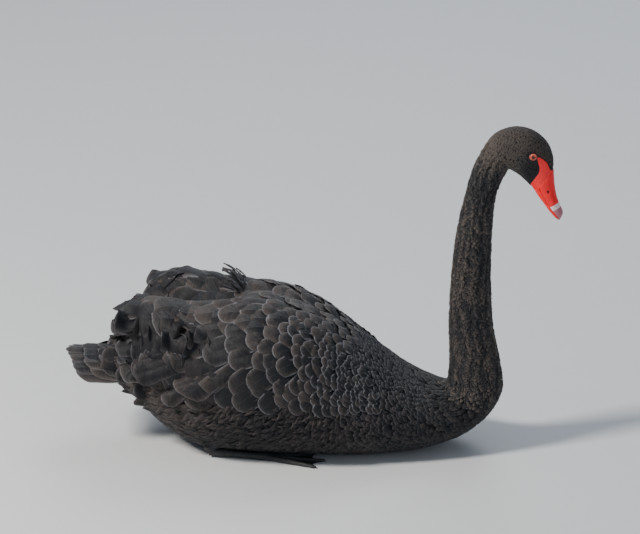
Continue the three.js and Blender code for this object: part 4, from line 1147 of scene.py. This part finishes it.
class SWAN_OT_tail(SwanOperator):
    """Tail: tiers of long vanes in a shallow fan"""
    bl_idname = "swan.tail"
    bl_label = "Tail"

    def fan(self, a, b, over):
        """Points of the fan: x runs from the root to the tip, less for the sides, y opens with the
        root of a, and z sinks with the square of b. over is a height, in millimetres."""
        x = mix(TAIL_ROOT, TAIL_TIP + TAIL_SHORT * b * b, a)
        y = b * mix(*TAIL_WIDE, np.sqrt(np.maximum(a, 0)))
        return np.stack([x, y, mix(*TAIL_HIGH, a) - TAIL_HANG * b * b + over], -1) * MM

    def tier(self, middles, start, end, width, over, below, rng):
        """Vanes of the fan about the cross shares middles, from length share start to end: upper
        and lower faces and the values for the finish."""
        a, b = vane_shares(14, 9)
        count = len(middles)
        mid = (np.asarray(middles) + rng.uniform(-0.02, 0.02, count))[:, None, None]
        a, b = a[None, :, None], b[None, None, :]
        end = end - rng.uniform(0, 0.05, count)[:, None, None]
        long = (end - start) * TAIL_LENGTH
        half = half_share(a, 0.6, 0.15) * width / 2
        share = mix(start, end, a) - tip_arc(a, b, width / 2, 1.1) / TAIL_LENGTH
        across = mid + b * half / mix(*TAIL_WIDE, np.clip(share, 0, 1))
        rise = (over + 5 * (1 - np.abs(mid))) * mix(0.2, 1, a) * (-1 if below else 1)
        rise = rise + 1.2 * (1 - b ** 2) * a - 0.9 * b * np.sign(mid + 1e-9) * a
        rise = rise + rng.uniform(-0.8, 0.8, count)[:, None, None] * a
        base = self.fan(share, across, rise)
        lens = 0.35 * MM * np.sin(math.pi * np.clip(a * 0.9 + 0.05, 0, 1)) * (1 - b ** 2)
        up = np.array([0, 0, 1.0]) * lens[..., None]
        chance = rng.uniform(0, 1, count)[:, None, None]
        marks = np.stack(np.broadcast_arrays(a, b, chance), -1)
        form = np.stack(np.broadcast_arrays(long, width / 2, 0.45 + 0 * chance), -1)
        return base + up, base - up, marks, form

    def execute(self, context):
        rng = np.random.default_rng(77)
        tiers = [(np.linspace(-1, 1, 12), 0.1, 1.0, 27, 0.5, False),
                 (np.linspace(-0.93, 0.93, 9), 0.0, 0.80, 29, 2.6, False),
                 (np.linspace(-0.88, 0.88, 7), -0.06, 0.58, 31, 4.6, False),
                 (np.linspace(-0.92, 0.92, 9), 0.0, 0.72, 27, 3.0, True)]
        made = [self.tier(*tier, rng) for tier in tiers]
        top, bottom, marks, form = (np.concatenate(v) for v in zip(*made))
        piece = vane_mesh("tail_feathers", top, bottom, marks, form, None, True)
        finish(piece, coat_material("wing", self.colours), "wing", "tail")
        return {"FINISHED"}


class SWAN_OT_bill(SwanOperator):
    """Bill: upper half with nostrils, white band, nail, and lower half"""
    bl_idname = "swan.bill"
    bl_label = "Bill"

    def stretch(self, start, end, upper, steps):
        """A stretch of the bill between two stations, above or below the line of the mouth: rings of
        the body's section, of which the part past that line is pressed flat onto it."""
        t = np.concatenate([[start], np.linspace(start, end, steps), [end]])
        phi = (np.arange(96) + 0.5) / 96 * 2 * math.pi
        tt, pp = np.meshgrid(t, phi, indexing="ij")
        row = rows_at(STATIONS, tt)
        back, line = row[..., 0:2], row[..., 2:4] - row[..., 0:2]
        depth = np.linalg.norm(line, axis=-1)
        mouth = mix(0.74, 0.6, smooth(tt, BILL, TIP)) * depth
        grow = np.zeros_like(tt)
        grow[0], grow[-1] = -0.25, -0.25
        ring = body(tt, pp, grow) / MM
        down = ((ring[..., [0, 2]] - back) * line).sum(-1) / depth
        lip = 0.1 + 0.2 * smooth(np.abs(ring[..., 1]) / row[..., 4], 0.75, 1.0)
        target = mouth - lip if upper else mouth + 0.1
        moved = np.minimum(down, target) if upper else np.maximum(down, target)
        tuck = np.abs(moved - down) > 1e-6
        ring[..., [0, 2]] += line / depth[..., None] * (moved - down)[..., None]
        ring[..., 1] *= np.where(tuck, 0.97, 1.0)
        if upper:
            for side in (-1, 1):
                hole = body(np.array(NOSTRIL_STATION), np.array(side * NOSTRIL_TURN)) / MM
                away = ring - hole
                lean = NOSTRIL_LEAN
                reach = np.hypot((away[..., 0] * lean[0] + away[..., 2] * lean[1]) / NOSTRIL_SIZE[0],
                                 (away[..., 2] * lean[0] - away[..., 0] * lean[1]) / NOSTRIL_SIZE[1])
                near = (np.abs(away[..., 1]) < 6) * (1 - smooth(reach, 0.4, 1.1))
                ring[..., 1] -= side * 2.3 * near
        return capped_tube(ring * MM)

    def execute(self, context):
        colours = self.colours
        hole = body(np.array(NOSTRIL_STATION), np.array(NOSTRIL_TURN)) / MM
        red = horn("bill_horn", tuple(colours.bill), tuple(c * 0.8 for c in colours.bill), hole=hole)
        pale = horn("band_horn", tuple(colours.band), (0.72, 0.50, 0.50))
        tip = horn("nail_horn", tuple(colours.nail), (0.42, 0.11, 0.11))
        pieces = [("upper_bill", BILL - 0.02, BAND, True, 60, red, "bill", "bill_upper"),
                  ("band", BAND + 0.005, NAIL, True, 16, pale, "band", "bill_band"),
                  ("nail", NAIL + 0.005, TIP - 0.02, True, 40, tip, "nail", "bill_nail"),
                  ("lower_bill", BILL - 0.02, TIP - 0.1, False, 80, red, "bill", "bill_lower")]
        for name, start, end, upper, steps, material, slot, node in pieces:
            piece = solid_piece(name, *self.stretch(start, end, upper, steps))
            finish(piece, material, slot, node)
        return {"FINISHED"}


class SWAN_OT_eyes(SwanOperator):
    """Eyes with their lids"""
    bl_idname = "swan.eyes"
    bl_label = "Eyes"

    def execute(self, context):
        radius = self.sizes.eye_radius
        lid_skin = horn("lid_skin", (0.46, 0.12, 0.09), (0.20, 0.04, 0.035), 700.0, 0.5)
        for side, word in SIDES:
            centre = eye_centre(side)
            lat = np.linspace(0.02, math.pi - 0.02, 40)[:, None]
            lon = np.linspace(0, 2 * math.pi, 48, endpoint=False)[None]
            ball = np.stack([np.sin(lat) * np.cos(lon), np.cos(lat) + 0 * lon,
                             np.sin(lat) * np.sin(lon)], -1)
            piece = solid_piece("eyeball_" + word, *capped_tube(centre * MM + radius * ball))
            finish(piece, iris_material(centre, self.colours), "eye", "eye_" + word)
            turn = np.linspace(0, 2 * math.pi, 64, endpoint=False)[:, None]
            bead = np.linspace(0, 2 * math.pi, 12, endpoint=False)[None]
            wide = 5.0 + 0.35 * np.abs(np.cos(turn)) ** 3
            tall = 4.5 - 0.25 * np.maximum(np.sin(turn), 0)
            thick = 0.7 + 0.2 * np.maximum(np.sin(turn), 0)
            ring_x = (wide + thick * np.cos(bead)) * np.cos(turn)
            ring_z = (tall + thick * np.cos(bead)) * np.sin(turn)
            ring_y = side * (3.75 - 0.10 * ring_x * 0.5 + 0.8 * thick * np.sin(bead)
                             - 0.12 * np.maximum(ring_x, 0))
            lid = centre + np.stack([ring_x, ring_y, ring_z], -1)
            quads = tube_faces(*lid.shape[:2], bent_round=True)
            piece = solid_piece("lid_" + word, lid.reshape(-1, 3) * MM, quads)
            finish(piece, lid_skin, "bill")
        return {"FINISHED"}


class SWAN_OT_feet(SwanOperator):
    """Webbed feet, folded shanks and claws"""
    bl_idname = "swan.feet"
    bl_label = "Feet"

    @staticmethod
    def limb(points, radii, around=20, steps=28):
        """A round limb: circles about a smooth line through points, whose radius runs smoothly
        through radii, held above the floor."""
        share = np.linspace(0, len(points) - 1, steps)
        line = rows_at(np.array(points, float), share)
        radius = np.interp(share / (len(points) - 1) * (len(radii) - 1), np.arange(len(radii)), radii)
        ahead = unit(np.gradient(line, axis=0))
        across = unit(np.cross([0, 0, 1.0], ahead))
        over = np.cross(ahead, across)
        angle = np.linspace(0, 2 * math.pi, around, endpoint=False)
        knuckle = 1 + 0.06 * np.sin(share * 9)
        cos, sin = np.cos(angle)[None, :, None], np.sin(angle)[None, :, None]
        ring = line[:, None] + (radius * knuckle)[:, None, None] * (
            cos * across[:, None] + sin * over[:, None])
        ring[..., 2] = np.maximum(ring[..., 2], 0.15)
        return capped_tube(ring * MM)

    def execute(self, context):
        material = foot_material(self.colours)
        claw_horn = horn("claw_horn", (0.012, 0.011, 0.011), (0.03, 0.026, 0.024))
        for side, word in SIDES:
            mirror = np.array([1, side, 1])
            root, heel = FOOT_ROOT * mirror, HEEL * mirror
            tips = [np.array([root[0] + n * math.cos(a), root[1] + side * n * math.sin(a), 2.4])
                    for a, n in TOES]
            parts, claws = [], []
            for tip in tips:
                ahead = unit(tip - root)
                end = tip - ahead * 5
                parts.append(self.limb([root, mix(root, end, 0.35) + [0, 0, 0.6],
                                        mix(root, end, 0.7), end], [4.8, 4.2, 3.2, 2.3]))
                claws.append(self.limb([end - ahead * 2 + [0, 0, 0.3], end + ahead * 2 + [0, 0, 0.5],
                                        tip + [0, 0, -1.2]], [1.9, 1.6, 0.4], 12, 12))
            parts.append(self.limb([root + [4, 0, 0], mix(root, heel, 0.5), heel], [5.4, 4.8, 6.6]))
            parts.append(self.limb([heel - [4, 0, 0], *(SHANK * mirror)], [7.2, 11, 18]))
            start, hind = HIND_TOE * mirror
            parts.append(self.limb([start, mix(start, hind, 0.6), hind], [2.5, 2.0, 1.1], 14, 16))
            claws.append(self.limb([hind, hind + [-2, -3 * side, -0.6]], [1.1, 0.3], 10, 6))
            for k in (0, 1):
                parts.append(self.web(root, tips[k], tips[k + 1]))
            piece = solid_piece("foot_" + word, *join_parts(parts))
            finish(piece, material, "foot", "leg_" + word)
            finish(solid_piece("claws_" + word, *join_parts(claws)), claw_horn, "foot")
        return {"FINISHED"}

    @staticmethod
    def web(root, left, right):
        """A thin sheet between two toes: straight lines from the root to a front edge that curves
        back between the tips, with ripples that fade to the toes."""
        rows, cols = 20, 14
        a = np.linspace(0.05, 0.97, rows)[:, None, None]
        b = np.linspace(0, 1, cols)[None, :, None]
        dip = 0.13 * np.sin(math.pi * b)
        line = root + (mix(left, right, b) - root) * a * (1 - dip * a ** 3)
        ripple = np.sin(math.pi * b) * np.sin(9 * b * math.pi) * 0.25 * a
        up = np.array([0, 0, 1.0])
        mid = line * [1, 1, 0] + up * (1.3 + ripple)
        half = 0.45 * up * np.sin(math.pi * np.clip(a * 0.9 + 0.05, 0, 1)) * np.sin(math.pi * b)
        top, low = mid + half, mid - half
        points = np.concatenate([top.reshape(-1, 3), low[1:-1, 1:-1].reshape(-1, 3)])
        faces, _, _ = lens_faces(rows, cols)
        return points * MM, faces, np.empty((0, 3), int)


class SWAN_OT_stage(SwanOperator):
    """Plain floor, soft lights and the camera"""
    bl_idname = "swan.stage"
    bl_label = "Stage"

    @staticmethod
    def turn(holder, back):
        """Turns an object so that its back points along a vector and its side stays level."""
        back = unit(np.array(back, float))
        holder.rotation_euler = (math.acos(back[2]), 0, math.atan2(back[0], -back[1]))

    def execute(self, context):
        half = FLOOR_HALF
        corners = np.array([(-half, -half, 0), (half, -half, 0), (half, half, 0), (-half, half, 0)])
        floor = mesh_piece("floor", corners, np.array([[0, 1, 2, 3]]))
        s = Shader("pale_floor")
        speck = s.noise(30.0, 4.0)
        shade = tuple(self.colours.floor)
        floor.data.materials.append(
            s.close(s.blend(speck, shade, tuple(0.97 * c for c in shade)), 0.8, speck, 0.05))
        world = bpy.data.worlds.new("soft_room")
        world.use_nodes = True
        room = world.node_tree.nodes["Background"]
        room.inputs[0].default_value, room.inputs[1].default_value = ROOM_COLOUR, ROOM_LIGHT
        scene = bpy.context.scene
        scene.world = world
        for name, (place, size, power, colour) in LAMPS.items():
            light = bpy.data.lights.new(name, "AREA")
            light.size, light.energy, light.color = size, power, colour
            holder = bpy.data.objects.new(name, light)
            holder.location = place
            self.turn(holder, np.array(place) - np.array(LAMP_AIM))
            scene.collection.objects.link(holder)
        azimuth, elevation = math.radians(AZIMUTH), math.radians(ELEVATION)
        back = np.array([math.sin(azimuth) * math.cos(elevation),
                         -math.cos(azimuth) * math.cos(elevation), math.sin(elevation)])
        distance = self.sizes.view_distance
        lens = bpy.data.cameras.new("camera")
        lens.sensor_width, lens.lens = FILM_WIDTH, FILM_WIDTH * distance / FRAME_WIDTH
        lens.clip_end = 60
        camera = bpy.data.objects.new("camera", lens)
        camera.location = np.array(CAMERA_AIM) + back * distance
        self.turn(camera, back)
        scene.collection.objects.link(camera)
        scene.camera = camera
        return {"FINISHED"}


class SWAN_PT_panel(bpy.types.Panel):
    """Lists the swan's sizes, colours and pieces"""
    bl_label = "Black swan"
    bl_idname = "SWAN_PT_panel"
    bl_space_type = "VIEW_3D"
    bl_region_type = "UI"
    bl_category = "Swan"

    def draw(self, context):
        for group in (context.scene.swan_sizes, context.scene.swan_colours):
            for key in group.bl_rna.properties.keys():
                if key not in ("rna_type", "name"):
                    self.layout.prop(group, key)
        for operator in PIECES:
            self.layout.operator(operator.bl_idname)


PIECES = (SWAN_OT_stage, SWAN_OT_skin, SWAN_OT_coat, SWAN_OT_wings, SWAN_OT_tail, SWAN_OT_bill,
          SWAN_OT_eyes, SWAN_OT_feet)
CLASSES = (SwanColours, SwanSizes, *PIECES, SWAN_PT_panel)


def register():
    """Registers the classes and hangs the settings on the scene."""
    for kind in CLASSES:
        bpy.utils.register_class(kind)
    bpy.types.Scene.swan_colours = PointerProperty(type=SwanColours)
    bpy.types.Scene.swan_sizes = PointerProperty(type=SwanSizes)


def unregister():
    """Takes the settings and classes away again."""
    del bpy.types.Scene.swan_sizes
    del bpy.types.Scene.swan_colours
    for kind in reversed(CLASSES):
        bpy.utils.unregister_class(kind)


def main():
    """Builds the swan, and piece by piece."""
    register()
    for operator in PIECES:
        group, name = operator.bl_idname.split(".")
        getattr(getattr(bpy.ops, group), name)()


if __name__ == "__main__":
    main()
